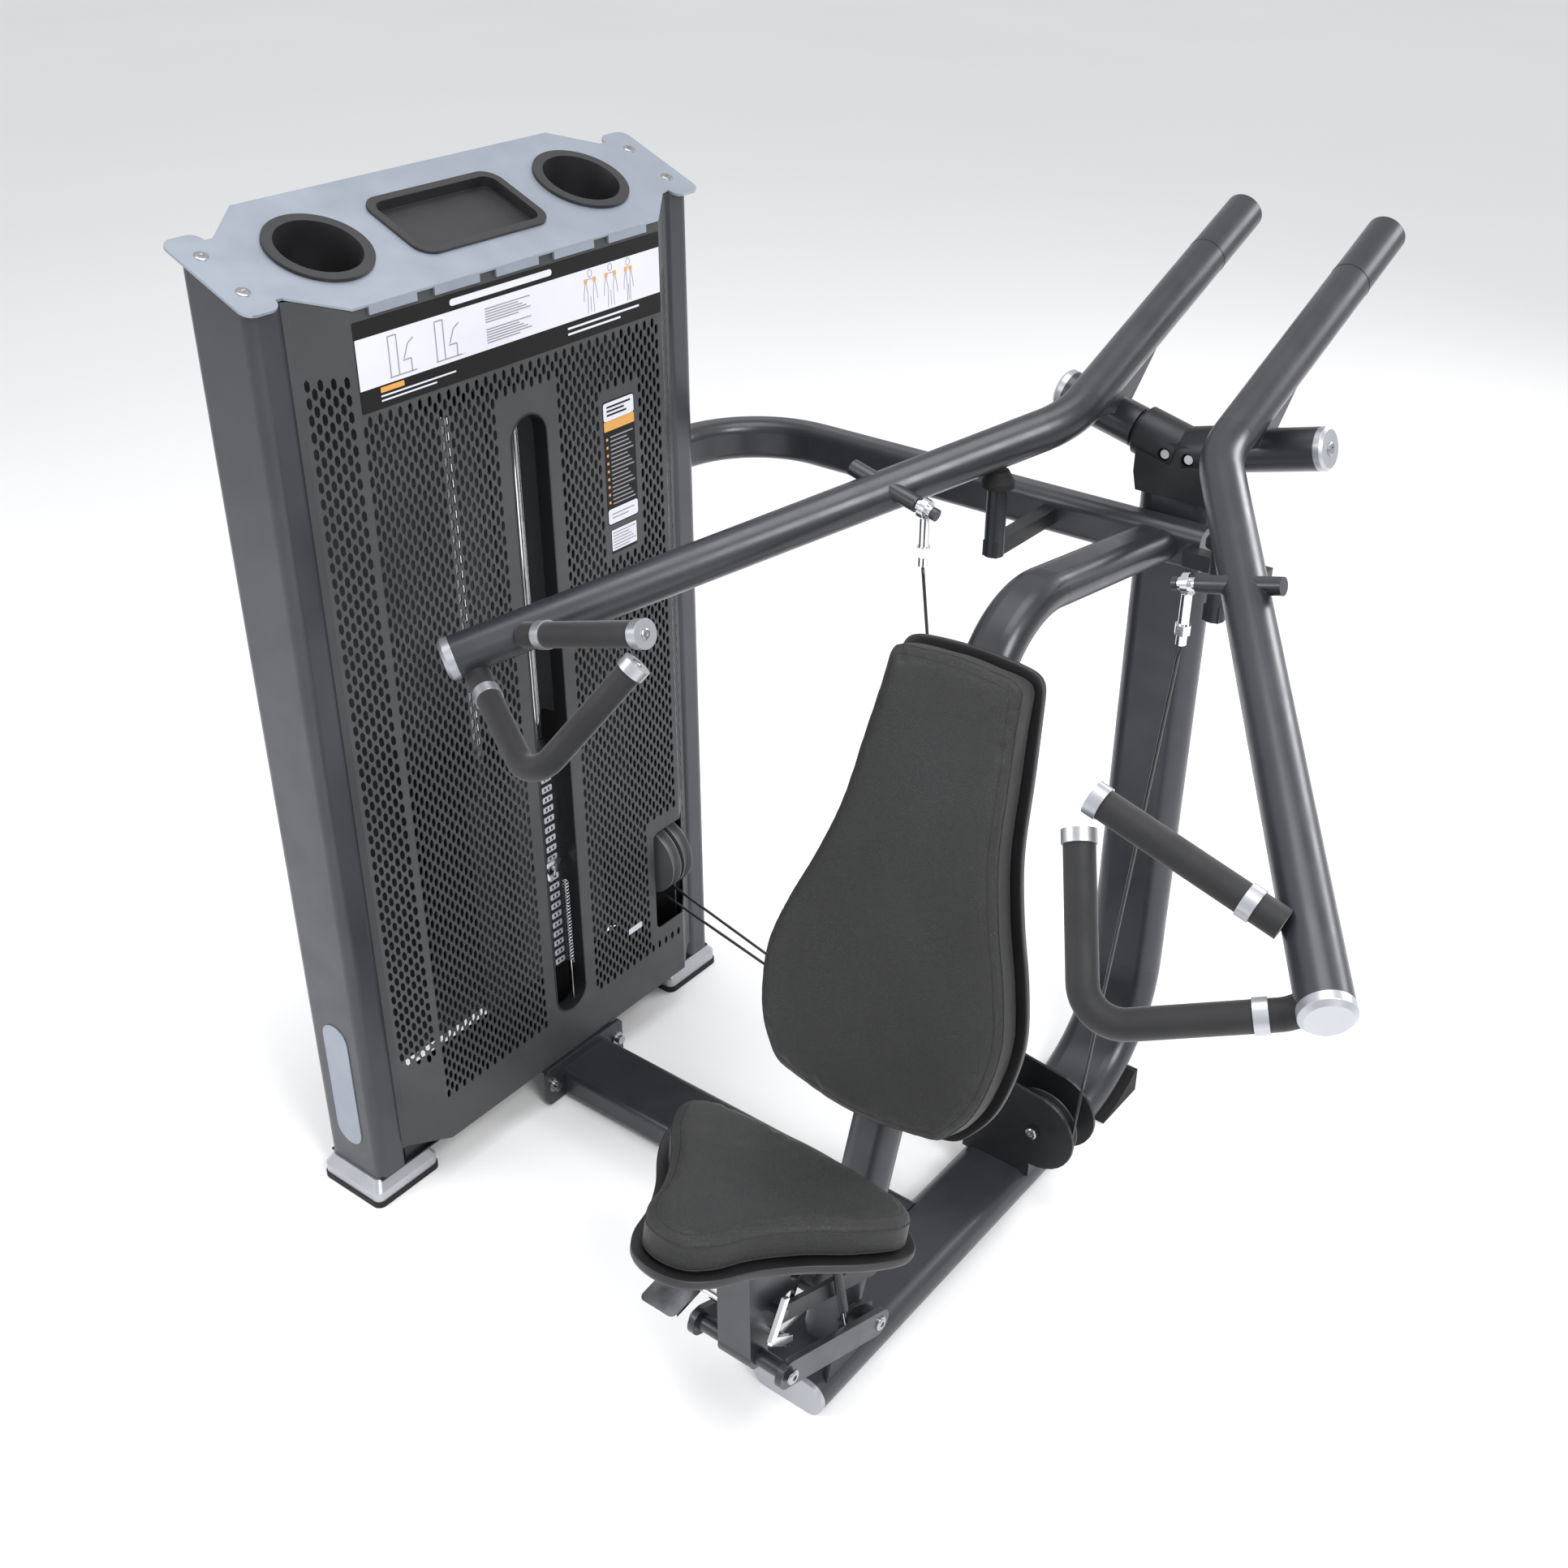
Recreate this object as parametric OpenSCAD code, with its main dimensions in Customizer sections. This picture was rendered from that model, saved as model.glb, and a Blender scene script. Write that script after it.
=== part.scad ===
// Pin-loaded shoulder press: weight tower, base, backrest, adjustable seat and two
// converging press arms.  Millimetres, +Z up, floor at z = 0.
// x = 0 is the centre plane of the seat and arms, the tower stands on the -X side,
// the user faces -Y.

/* [Tower] */
// Centre of the tower from the seat's centre plane
tower_x = -815; // [-900:5:-780]
// Half of the tower's length along Y
tower_half = 408; // [380:2:440]
// Depth of the tower's two columns
column_depth = 126; // [110:2:140]
// How far each panel's face stands from the tower's centre
panel_out = 105; // [95:1:115]
// Height of the top plate over the tower's centre
top_z = 1484; // [1400:1:1560]
// Slope of the top plate towards the user
top_tilt = 23; // [10:1:30]

/* [Weight stack] */
// Weight plates in the whole stack
plate_count = 20; // [12:1:22]
// Plates that the selector pin has picked up
lifted_count = 9; // [1:1:12]
// Height of one plate in the stack
plate_pitch = 19; // [16:0.5:22]
// Underside of the lowest plate
stack_z = 225; // [210:1:260]

/* [Frame] */
// Width of the flat oval base tube and upright
spine_w = 126; // [110:2:140]
// Thickness of the flat oval base tube and upright
spine_t = 58; // [50:1:64]
// Bend radius between base and upright
spine_bend = 200; // [160:5:220]
// Centre height of the cross tube behind the backrest
cross_z = 1024; // [1000:1:1040]

/* [Press arms] */
// Outer diameter of the arm tubes
arm_d = 60; // [56:1:64]
// Slope of each arm's pivot shaft, rising outwards
pivot_tilt = 14.2; // [10:0.1:18]
// Diameter of the foam grips
grip_d = 36; // [32:1:40]

/* [Seat] */
// Slope of the seat, rising to the front
seat_tilt = 14.2; // [5:0.1:16]
// Recline of the backrest from vertical
back_tilt = 18.9; // [15:0.1:22]
// Thickness of the cushions
pad_t = 48; // [40:1:55]
// Length of the seat's parallel links
link_len = 226; // [210:1:240]
// Angle of the links above level
link_angle = 22.1; // [18:0.1:26]

/* [Hidden] */
$fn = 48;

wall = 3;
fit = 0.05;                       // running clearance on a radius
gap = 0.4;                        // clear space between parts that pass each other
tower_y = -300;
tower_mount_z = 45;
panel_t = 3;
panel_half = 290;                 // half length of a panel's flat face
window_w = 72;
window_z0 = 165;
window_z1 = 1222;
rod_at = [0, 65];                 // guide rods, either side of the stack's centre
rod_z0 = 110;
rod_z1 = 1228;
pin_z = stack_z + (plate_count - lifted_count) * plate_pitch + plate_pitch / 2;
stack_top = stack_z + plate_count * plate_pitch;
pitch_gap = 0.5;

base_front = -612;
upright_y = 336;
upright_top = 1078;
base_z = spine_t / 2;
base_lap = 6;                     // straight end of the upright's foot
cross_y = 281;
post_top = [0, -169, 1080];
post_foot = [0, -526.5, 36];

hub_mid = [0, upright_y, 1140];
hub_dir = [cos(pivot_tilt), 0, sin(pivot_tilt)];
arm_front = [635, -564, 962];
arm_bend = [115, 187, 1206];
arm_rear = [114, 692, 1404];
arm_r = arm_d / 2;
cap_t = 16;
tail_len = 130;
rod_pin = [200, -50, 1126];

sheave_r = 65;
base_sheave_r = 62;
top_sheave_r = 42;
groove = 7;                       // depth of a sheave's groove
sheave_t = 22;
tower_sheave = [-748, -35, 331];
right_sheave = [65, -50, 150];
left_sheave = [-170, -20, 180];
cable_y = [-50, -20];
cable_d = 5;
top_near = [-808.5, -72.5, 1290];
top_far = [-808.5, -262.5, 1290];
top_pitch = 11.5;                 // half the spacing of the two top sheaves on one axle

link_pivot = [0, -506, 110];
link_front = link_pivot + link_len * [0, -cos(link_angle), sin(link_angle)];
upper_off = [0, 28, 70];
upper_y = link_pivot.y + upper_off.y;
upper_z = link_pivot.z + upper_off.z;
gas_low = [62, -560, 120];
gas_top = [62, -600, 330];
seat_top = [0, -700, 480];
back_face = [0, -300, 975];
shell_t = 16;
lap = 0.05;                       // how far a straight run reaches into its bends
neck = 0.004;                     // share by which bends are drawn slimmer than the straights

function unit(v) = v / norm(v);
function mirror_x(v) = [-v.x, v.y, v.z];
function side(d) = abs(d.z) < 0.8 ? unit(cross([0, 0, 1], d)) : unit(cross([1, 0, 0], d));
function turn(p, i) = acos(unit(p[i] - p[i - 1]) * unit(p[i + 1] - p[i]));
function bend_at(r, i) = is_list(r) ? r[i] : r;
function setback(p, i, r) = i == 0 || i == len(p) - 1 ? 0 : bend_at(r, i) * tan(turn(p, i) / 2);
function plate_top(x) = top_z - (x - tower_x) * tan(top_tilt);

// Turns local X to xa and local Z to za
module orient(xa, za) {
  ya = cross(za, xa);
  upright = abs(xa.z) > 0.9999;
  a = upright ? atan2(-sign(xa.z) * ya.x, ya.y) : atan2(ya.z, za.z);
  c = upright ? 0 : atan2(xa.y, xa.x);
  rotate([a, -asin(max(-1, min(1, xa.z))), c]) children();
}

// Sweeps a profile along a path with round bends; profile x lies in the bends' plane
module run(p, bend, n, slim = neck) {
  last = len(p) - 1;
  for (i = [0 : last - 1]) {
    d = unit(p[i + 1] - p[i]);
    from = p[i] + d * (setback(p, i, bend) - (i == 0 ? 0 : lap));
    to = p[i + 1] - d * (setback(p, i + 1, bend) - (i + 1 == last ? 0 : lap));
    across = is_undef(n) ? side(d) : cross(n, d);
    translate(from) orient(across, d) linear_extrude(norm(to - from)) children();
  }
  if (last > 1) for (i = [1 : last - 1]) {
    d1 = unit(p[i] - p[i - 1]);
    axis = unit(cross(d1, unit(p[i + 1] - p[i])));
    inward = cross(axis, d1);
    r = bend_at(bend, i);
    translate(p[i] - d1 * setback(p, i, bend) + inward * r) orient(-inward, axis)
      rotate_extrude(angle = turn(p, i)) translate([r, 0]) scale(1 - slim) children();
  }
}

module rod(a, b, r) {
  d = unit(b - a);
  translate(a) orient(side(d), d) cylinder(h = norm(b - a), r = r);
}

module oval(w, t) {
  square([w - t, t], center = true);
  for (s = [-1, 1]) translate([s * (w - t) / 2, 0]) circle(d = t);
}

module rounded(w, h, r) {
  square([w - 2 * r, h], center = true);
  square([w, h - 2 * r], center = true);
  for (sx = [-1, 1], sy = [-1, 1]) translate([sx * (w / 2 - r), sy * (h / 2 - r)]) circle(r);
}

module ring(ro, ri) {
  difference() {
    circle(ro);
    circle(ri);
  }
}

module spine_profile() { rotate(90) oval(spine_w, spine_t); }
module spine_tube() {
  difference() {
    spine_profile();
    rotate(90) oval(spine_w - 2 * wall, spine_t - 2 * wall);
  }
}

// Bar along X between two stations, centred on a YZ point
module pin_x(x0, x1, y, z, r) { translate([x0, y, z]) rotate([0, 90, 0]) cylinder(h = x1 - x0, r = r); }

// Axle along Y centred on a point
module pin_y(c, length, r) {
  translate(c + [0, length / 2, 0]) rotate([90, 0, 0]) cylinder(h = length, r = r);
}

// Plate in the YZ plane
module plate_yz(x, t) {
  translate([x, 0, 0]) rotate([90, 0, 90]) linear_extrude(t) children();
}

module base_solid() {
  translate([0, base_front - 20, base_z]) rotate([-90, 0, 0]) linear_extrude(760) oval(spine_w, spine_t);
}

// ---------------------------------------------------------------- frame
module base_beam() {
  color("#3a3c41")
    run([[0, base_front, base_z], [0, upright_y - spine_bend - base_lap - gap / 10, base_z]], 1, [1, 0, 0])
      spine_tube();
}

module base_front_cap() {
  color("#b9bbc0") translate([0, base_front, base_z]) rotate([90, 0, 0]) {
    linear_extrude(8) oval(spine_w, spine_t);
    translate([0, 0, -20]) linear_extrude(20) oval(spine_w - 2 * wall - 1, spine_t - 2 * wall - 1);
  }
}

module rear_upright() {
  color("#3a3c41")
    run([[0, upright_y - spine_bend - base_lap, base_z], [0, upright_y, base_z], [0, upright_y, upright_top]],
        spine_bend, [1, 0, 0]) spine_tube();
}

module rear_foot() {
  centre_y = upright_y - spine_bend;
  color("#33353a") difference() {
    translate([-72, centre_y + 36, 0]) cube([144, 112, 46]);
    pin_x(-80, 80, centre_y, base_z + spine_bend, spine_bend + spine_t / 2 + gap);
  }
}

module connector_beam() {
  color("#3a3c41") difference() {
    union() {
      translate([-704, tower_y + 16, 31]) rotate([0, 90, 0]) rotate(90)
        linear_extrude(660) difference() {
          rounded(118, 56, 14);
          rounded(118 - 2 * wall, 56 - 2 * wall, 11);
        }
      translate([-712, tower_y + 16, 40]) rotate([0, 90, 0]) rotate(90) linear_extrude(8)
        rounded(190, 74, 10);
    }
    base_solid();
  }
}

module frame_bolts() {
  color("#c6c8cc") for (s = [-1, 1]) {
    translate([-704, tower_y + 16 + s * 80, 42]) rotate([0, 90, 0]) {
      cylinder(h = 3, r = 12);
      translate([0, 0, 3]) cylinder(h = 9, r = 8);
    }
    translate([s * 19, upright_y - 33, 1142]) rotate([-90, 0, 0]) cylinder(h = 7, r = 7);
  }
}

module cross_profile() { rounded(50, 66, 18); }
module cross_tube() {
  far = tower_y + tower_half;
  color("#3a3c41") difference() {
    union() {
      run([[74, cross_y, cross_z], [-800, cross_y, cross_z], [-800, far + gap, cross_z]], 168, [0, 0, 1])
        difference() {
          cross_profile();
          rounded(50 - 2 * wall, 66 - 2 * wall, 15);
        }
      translate([70, cross_y, cross_z]) rotate([0, 90, 0]) rotate(90) linear_extrude(4) cross_profile();
    }
  }
}

module backrest_post() {
  color("#3a3c41") difference() {
    run([[0, cross_y - 25, cross_z], post_top, post_foot], 140, [1, 0, 0]) difference() {
      rotate(90) oval(76, 50);
      rotate(90) oval(76 - 2 * wall, 50 - 2 * wall);
    }
    translate([-60, -700, -10]) cube([120, 400, 10 + spine_t]);
    translate([-60, cross_y - 25, cross_z - 80]) cube([120, 80, 160]);
    pin_x(-60, 60, link_pivot.y, link_pivot.z, 15);
    pin_x(-60, 60, upper_y, upper_z, 7);
  }
}

module on_hub(s, along) {
  d = [s * hub_dir.x, 0, hub_dir.z];
  translate(hub_mid + d * along) orient([0, 1, 0], d) children();
}

module pivot_housing() {
  color("#303237") {
    difference() {
      union() {
        for (s = [-1, 1]) on_hub(s, 6) cylinder(h = 68, r = 37);
        translate([0, upright_y + 34, 0]) rotate([90, 0, 0]) linear_extrude(68)
          polygon([[-60, 1078], [60, 1078], [66, 1105], [66, 1156], [0, 1162], [-66, 1156], [-66, 1105]]);
      }
      for (s = [-1, 1]) translate([s * 19, upright_y - 45, 1142]) rotate([-90, 0, 0])
        cylinder(h = 19, r = 10);
    }
    for (s = [-1, 1]) on_hub(s, 74) {
      cylinder(h = 128, r = 22);
      cylinder(h = 7, r = 28);
    }
  }
}

stop_at = [176, 101, 1142.6];
module arm_stops() {
  bar = [24, cross_y - 25 - stop_at.y + 12, 24];
  color("#33353a") for (s = [-1, 1]) {
    translate([s * stop_at.x, stop_at.y, cross_z - 12]) cylinder(h = stop_at.z - cross_z - 12, r = 15);
    translate([s * stop_at.x - 12, stop_at.y - 12, cross_z - 12]) cube(bar);
    if (s > 0) translate([60, cross_y - 49, cross_z - 12]) cube([stop_at.x - 50, 24, 24]);
  }
}

// Rubber under the arms and under the weight stack
module stop_bumpers() {
  color("#1b1b1d") {
    for (s = [-1, 1]) translate([s * stop_at.x, stop_at.y, stop_at.z - 24]) {
      cylinder(h = 8, r = 24);
      translate([0, 0, 8]) cylinder(h = 16, r1 = 24, r2 = 15);
    }
    translate([tower_x, tower_y, rod_z0]) at_rods() difference() {
      cylinder(h = stack_z - rod_z0 - 0.2, r = 24);
      translate([0, 0, -1]) cylinder(h = 200, r = 10.3);
    }
  }
}

// ---------------------------------------------------------------- tower
module under_slope(extra) {
  translate([tower_x, 0, top_z + extra]) rotate([0, top_tilt, 0])
    translate([-500, -1500, 0]) cube([1000, 3000, 500]);
}

module tower_base() {
  color("#2e3034") {
    translate([tower_x - 55, tower_y - tower_half + 58, tower_mount_z + 2])
      cube([110, 2 * tower_half - 116, 63]);
    translate([tower_x + 55, tower_y - 60, tower_mount_z + 4]) cube([panel_out - 58, 152, 26]);
    for (s = [-1, 1]) translate([tower_x - 62, tower_y + s * (tower_half - 66) - 64, 45]) cube([124, 128, 3]);
    for (y = [-67, 0]) translate([tower_sheave.x - 40, y - 3, 70]) cube([55, 3, tower_sheave.z - 55]);
    pin_y(tower_sheave, 70, 9.95);
  }
}

module column(s) {
  color("#3c3e43") difference() {
    translate([tower_x, tower_y + s * (tower_half - 29), 48]) linear_extrude(1500) difference() {
      rounded(column_depth, 58, 16);
      rounded(column_depth - 2 * wall, 58 - 2 * wall, 13);
    }
    under_slope(-5);
  }
}
module column_front() { column(-1); }
module column_rear() { column(1); }

module tower_head() {
  half_gap = 2 * top_pitch + 0.5;
  color("#2e3034") {
    translate([tower_x - 40, tower_y - tower_half + 58, 1350]) cube([80, 2 * tower_half - 116, 30]);
    for (s = [-1, 1]) translate([top_near.x + s * (half_gap + 1.5) - 1.5, -310, rod_z1 + 8])
      cube([3, 280, 124 - 8]);
    translate([tower_x - 40, tower_y - 96, rod_z1 + 6]) cube([80, 6, 120]);
    difference() {
      translate([tower_x - 40, tower_y - 96, rod_z1]) cube([80, 192, 12]);
      translate([top_near.x, tower_y, rod_z1 - 1]) cylinder(h = 20, r = 22);
    }
    for (c = [top_near, top_far]) translate([c.x - half_gap - 2, c.y, c.z]) rotate([0, 90, 0])
      cylinder(h = 2 * half_gap + 4, r = 7.95);
  }
}

// Half of a panel's bulging outline, as a thin band
function panel_line(o, half) = [[column_depth / 2 + o - 2, -tower_half + 58], [panel_out + o, -half],
                                [panel_out + o, half], [column_depth / 2 + o - 2, tower_half - 58]];
module panel_band() {
  inner = panel_line(-panel_t, panel_half - 1);
  polygon(concat(panel_line(0, panel_half), [inner[3], inner[2], inner[1], inner[0]]));
}

module panel(s) {
  translate([tower_x, tower_y, 80]) mirror([s < 0 ? 1 : 0, 0, 0]) linear_extrude(1500) panel_band();
}

module panel_inner() {
  face = tower_x + panel_out;
  color("#46484d") difference() {
    panel(1);
    under_slope(-5);
    translate([face - 20, tower_y, (window_z0 + window_z1) / 2]) rotate([0, 90, 0])
      linear_extrude(40) oval(window_z1 - window_z0, window_w);
    translate([face - 45, -79, 205]) cube([90, 96, 200]);
  }
}

module panel_outer() {
  color("#46484d") difference() {
    panel(-1);
    under_slope(-5);
  }
}

module plate_frame() {
  translate([tower_x, tower_y, top_z]) rotate([0, top_tilt, 0]) children();
}

cup_y = 242;
module top_plate() {
  half = (panel_out + 5) / cos(top_tilt);
  tab = 62 / cos(top_tilt);
  color("#b4b6bb") plate_frame() difference() {
    translate([0, 0, -4]) union() {
      linear_extrude(4) polygon([[half, -286], [half, 286], [tab, 352], [tab, 366], [-tab, 366],
                               [-tab, 352], [-half, 286], [-half, -286], [-tab, -352], [-tab, -366],
                               [tab, -366], [tab, -352]]);
      for (s = [-1, 1]) translate([0, s * 392, 0]) linear_extrude(4) rounded(168, 56, 17);
    }
    for (s = [-1, 1]) translate([0, s * cup_y, -10]) cylinder(h = 20, r = 61);
    translate([0, 0, -10]) linear_extrude(20) rounded(118, 226, 22);
    for (sx = [-1, 1], sy = [-1, 1]) translate([sx * 40, sy * 390, -10]) cylinder(h = 20, r = 4);
  }
  color("#b4b6bb") for (y = [-215, -105, 5, 115, 225])
    translate([tower_x + panel_out + 0.4, tower_y + y - 46, plate_top(tower_x + panel_out) - 16])
      cube([4, 80, 12.5]);
}

module cup(s) {
  color("#26272a") plate_frame() translate([0, s * cup_y, 0]) difference() {
    union() {
      translate([0, 0, 0]) cylinder(h = 5, r = 72);
      translate([0, 0, -85]) cylinder(h = 86, r1 = 50, r2 = 60.5);
    }
    translate([0, 0, -82]) cylinder(h = 88, r1 = 47, r2 = 57.5);
  }
}
module cup_holders() { for (s = [-1, 1]) cup(s); }

module tray() {
  color("#3b3c40") plate_frame() difference() {
    union() {
      linear_extrude(4) rounded(134, 242, 28);
      translate([0, 0, -16]) linear_extrude(17) rounded(116, 224, 21);
    }
    translate([0, 0, -13]) linear_extrude(20) rounded(110, 218, 18);
  }
}

module placard() {
  color("#d9dbe0") translate([tower_x + panel_out, tower_y - 288, 1300]) cube([1, 576, 118]);
}

module badge_plate() {
  color("#c3c5c9") translate([tower_x, tower_y - tower_half, 215]) rotate([90, 0, 0])
    linear_extrude(1.5) rotate(90) oval(236, 56);
}

module foot_covers() {
  color("#bdbfc4") for (s = [-1, 1]) translate([tower_x, tower_y + s * (tower_half - 50), 10]) {
    linear_extrude(17) rounded(134, 130, 12);
    hull() {
      translate([0, 0, 17]) linear_extrude(0.5) rounded(134, 130, 12);
      translate([0, 0, 34.5]) linear_extrude(0.5) rounded(112, 108, 10);
    }
  }
}

module foot_pads() {
  color("#1a1a1c") for (s = [-1, 1]) translate([tower_x, tower_y + s * (tower_half - 50), 0])
    linear_extrude(10) rounded(138, 134, 14);
}

// ---------------------------------------------------------------- weight stack
module at_rods() {
  for (s = [-1, 1]) translate([rod_at.x, s * rod_at.y, 0]) children();
}

module guide_rods() {
  color("#dfe1e5") translate([tower_x, tower_y, rod_z0]) at_rods() cylinder(h = rod_z1 - rod_z0, r = 10);
}

module plate_outline() {
  difference() {
    rounded(120, 290, 8);
    at_rods() circle(r = 11);
  }
}

module weight_plate(k) {
  translate([tower_x, tower_y, stack_z + k * plate_pitch]) difference() {
    linear_extrude(plate_pitch - pitch_gap) difference() {
      plate_outline();
      circle(r = 13);
    }
    translate([10, 0, plate_pitch / 2]) rotate([0, 90, 0]) cylinder(h = 60, r = 5.5);
  }
}

module rest_plates() {
  color("#222326") for (k = [0 : plate_count - lifted_count - 1]) weight_plate(k);
}

module lifted_plates() {
  color("#222326") for (k = [plate_count - lifted_count : plate_count - 1]) weight_plate(k);
}

module stack_head() {
  color("#2b2c30") difference() {
    union() {
      translate([tower_x, tower_y, stack_top]) linear_extrude(28) plate_outline();
      translate([tower_x, tower_y, stack_z + 16]) cylinder(h = stack_top - stack_z - 16, r = 11);
      translate([top_near.x - 32, tower_y - 12, stack_top + 28]) cube([64, 24, 22]);
    }
    for (k = [1 : plate_count - 1])
      translate([tower_x - 20, tower_y, stack_z + (k + 0.5) * plate_pitch]) rotate([0, 90, 0])
        cylinder(h = 40, r = 5.5);
  }
}

module selector_pin() {
  color("#c9cbd0") {
    translate([tower_x - 9, tower_y, pin_z]) rotate([0, 90, 0]) cylinder(h = 82, r = 4.5);
    translate([tower_x + 60.5, tower_y, pin_z]) rotate([0, 90, 0]) cylinder(h = 8, r = 9);
    translate([tower_x + 68.5, tower_y, pin_z]) rotate([0, 90, 0]) rotate(90) linear_extrude(10)
      difference() {
        polygon([[-24, 6], [-21, 10], [21, 10], [24, 6], [7, -24], [-7, -24]]);
        polygon([[-14, 3], [14, 3], [4, -16], [-4, -16]]);
        }
  }
}

lanyard_x = tower_x + 92;
lanyard_z = 250;
lanyard_foot = tower_mount_z + 30;
module lanyard_spring() {
  color("#a9abb0") {
    translate([lanyard_x, tower_y + 12, lanyard_z]) cylinder(h = pin_z - 26 - lanyard_z, r = 4.5);
    translate([lanyard_x, tower_y + 12, lanyard_foot]) cylinder(h = lanyard_z - lanyard_foot, r = 1.5);
  }
}

// ---------------------------------------------------------------- pulleys and cables
module sheave(r, bore) {
  h = sheave_t / 2;
  floor_r = r - groove - 0.8;
  rotate([90, 0, 0]) rotate_extrude()
    polygon([[bore, -h], [r, -h], [r, 2 - h], [floor_r, -4.8], [floor_r, 4.8], [r, h - 2], [r, h],
             [bore, h]]);
}

module sheaves_tower() {
  color("#9c9ea3") for (y = cable_y) translate([tower_sheave.x, y, tower_sheave.z]) sheave(sheave_r, 10);
}

module top_sheaves(c) {
  color("#2a2b2e") for (s = [-1, 1]) translate(c + [s * top_pitch, 0, 0]) rotate(90) sheave(top_sheave_r, 8);
}
module sheaves_top_near() { top_sheaves(top_near); }
module sheaves_top_far() { top_sheaves(top_far); }

module bracket_outline(r) {
  hull() {
    translate([right_sheave.x, right_sheave.z]) circle(r, $fn = 32);
    translate([left_sheave.x, left_sheave.z]) circle(r, $fn = 32);
  }
}

module base_pulley_bracket() {
  color("#2c2e32") {
    difference() {
      union() {
        for (y = [-63, 4]) translate([0, y, 0]) rotate([90, 0, 0]) linear_extrude(5) {
          bracket_outline(70);
          translate([-62, 52]) square([124, 100]);
        }
        translate([-62, -68, 52]) cube([124, 72, 24]);
      }
      base_solid();
    }
    for (c = [right_sheave, left_sheave]) pin_y([c.x, -32, c.z], 84, 7.95);
  }
}

module sheave_right() { color("#3a3b3f") translate(right_sheave) sheave(base_sheave_r, 8); }
module sheave_left() { color("#3a3b3f") translate(left_sheave) sheave(base_sheave_r, 8); }

// Cable centre lines: a straight run that touches two wrap circles on one side
function wrap(r) = r - groove + cable_d / 2;
function flat_at(p) = [p.x, p.z];
function tangent(c1, r1, c2, r2, s) = let (
  l = norm(c2 - c1), u = (c2 - c1) / l, v = s * [u.y, -u.x], a = (r1 - r2) / l,
  n = a * u + sqrt(1 - a * a) * v)
  [c1 + r1 * n, [-n.y, n.x]];
function cross2(a, b) = a.x * b.y - a.y * b.x;
function meet(l1, l2) = l1[0] + l1[1] * (cross2(l2[0] - l1[0], l2[1]) / cross2(l1[1], l2[1]));

// Corner where the cable from an arm turns under its base sheave
function base_corner(from, sheave_mid, y) = let (
  down = tangent(flat_at(from), 0, flat_at(sheave_mid), wrap(base_sheave_r), -1),
  b = meet(down, cable_way(sheave_mid))) [b.x, y, b.y];
function cable_way(sheave_mid) =
  tangent(flat_at(sheave_mid), wrap(base_sheave_r), flat_at(tower_sheave), wrap(sheave_r), -1);
function split_at(from, corner) = from + (corner - from) * (from.z - span_z) / (from.z - corner.z);

cable_start = rod_pin.z - 86;
drop_z = 1260;                    // height where the drop to the stack begins
span_z = 262;                     // height where the hanging span meets the rest of its cable
module cable(from, sheave_mid, y, top_x) {
  corner = base_corner(from, sheave_mid, y);
  up = [[tower_sheave.x - wrap(sheave_r), 0], [0, 1]];
  c = meet(cable_way(sheave_mid), up);
  far_y = top_far.y - wrap(top_sheave_r);
  top = top_near.z + wrap(top_sheave_r);
  color("#17181a")
    run([split_at(from, corner), corner, [c.x, y, c.y], [top_x, top_near.y + wrap(top_sheave_r), top],
         [top_x, far_y, top], [top_x, far_y, drop_z]],
        [0, wrap(base_sheave_r), wrap(sheave_r), wrap(top_sheave_r), wrap(top_sheave_r), 0], undef, 0.04)
      circle(d = cable_d);
}
from_right = [rod_pin.x, rod_pin.y, cable_start];
from_left = mirror_x(from_right);
module cable_right() { cable(from_right, right_sheave, cable_y[0], top_near.x - top_pitch); }
module cable_left() { cable(from_left, left_sheave, cable_y[1], top_near.x + top_pitch); }

// The two cables between the far top sheaves and the stack, which shorten as the stack rises
module cable_drops() {
  foot = stack_top + 50;
  color("#17181a") for (s = [-1, 1])
    translate([top_near.x + s * top_pitch, top_far.y - wrap(top_sheave_r), foot])
      cylinder(h = drop_z - foot, d = cable_d);
}

module cable_span(from, corner) {
  foot = split_at(from, corner);
  color("#17181a") rod(from, foot + unit(from - foot) * gap, cable_d / 2);
}
module cable_span_right() { cable_span(from_right, base_corner(from_right, right_sheave, cable_y[0])); }
module cable_span_left() { cable_span(from_left, base_corner(from_left, left_sheave, cable_y[1])); }

// ---------------------------------------------------------------- press arms
arm_turn = 140;
front_dir = unit(arm_front - arm_bend);
rear_dir = unit(arm_rear - arm_bend);
arm_path = [arm_front - front_dir * cap_t, arm_bend, arm_rear - rear_dir * tail_len];

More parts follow.
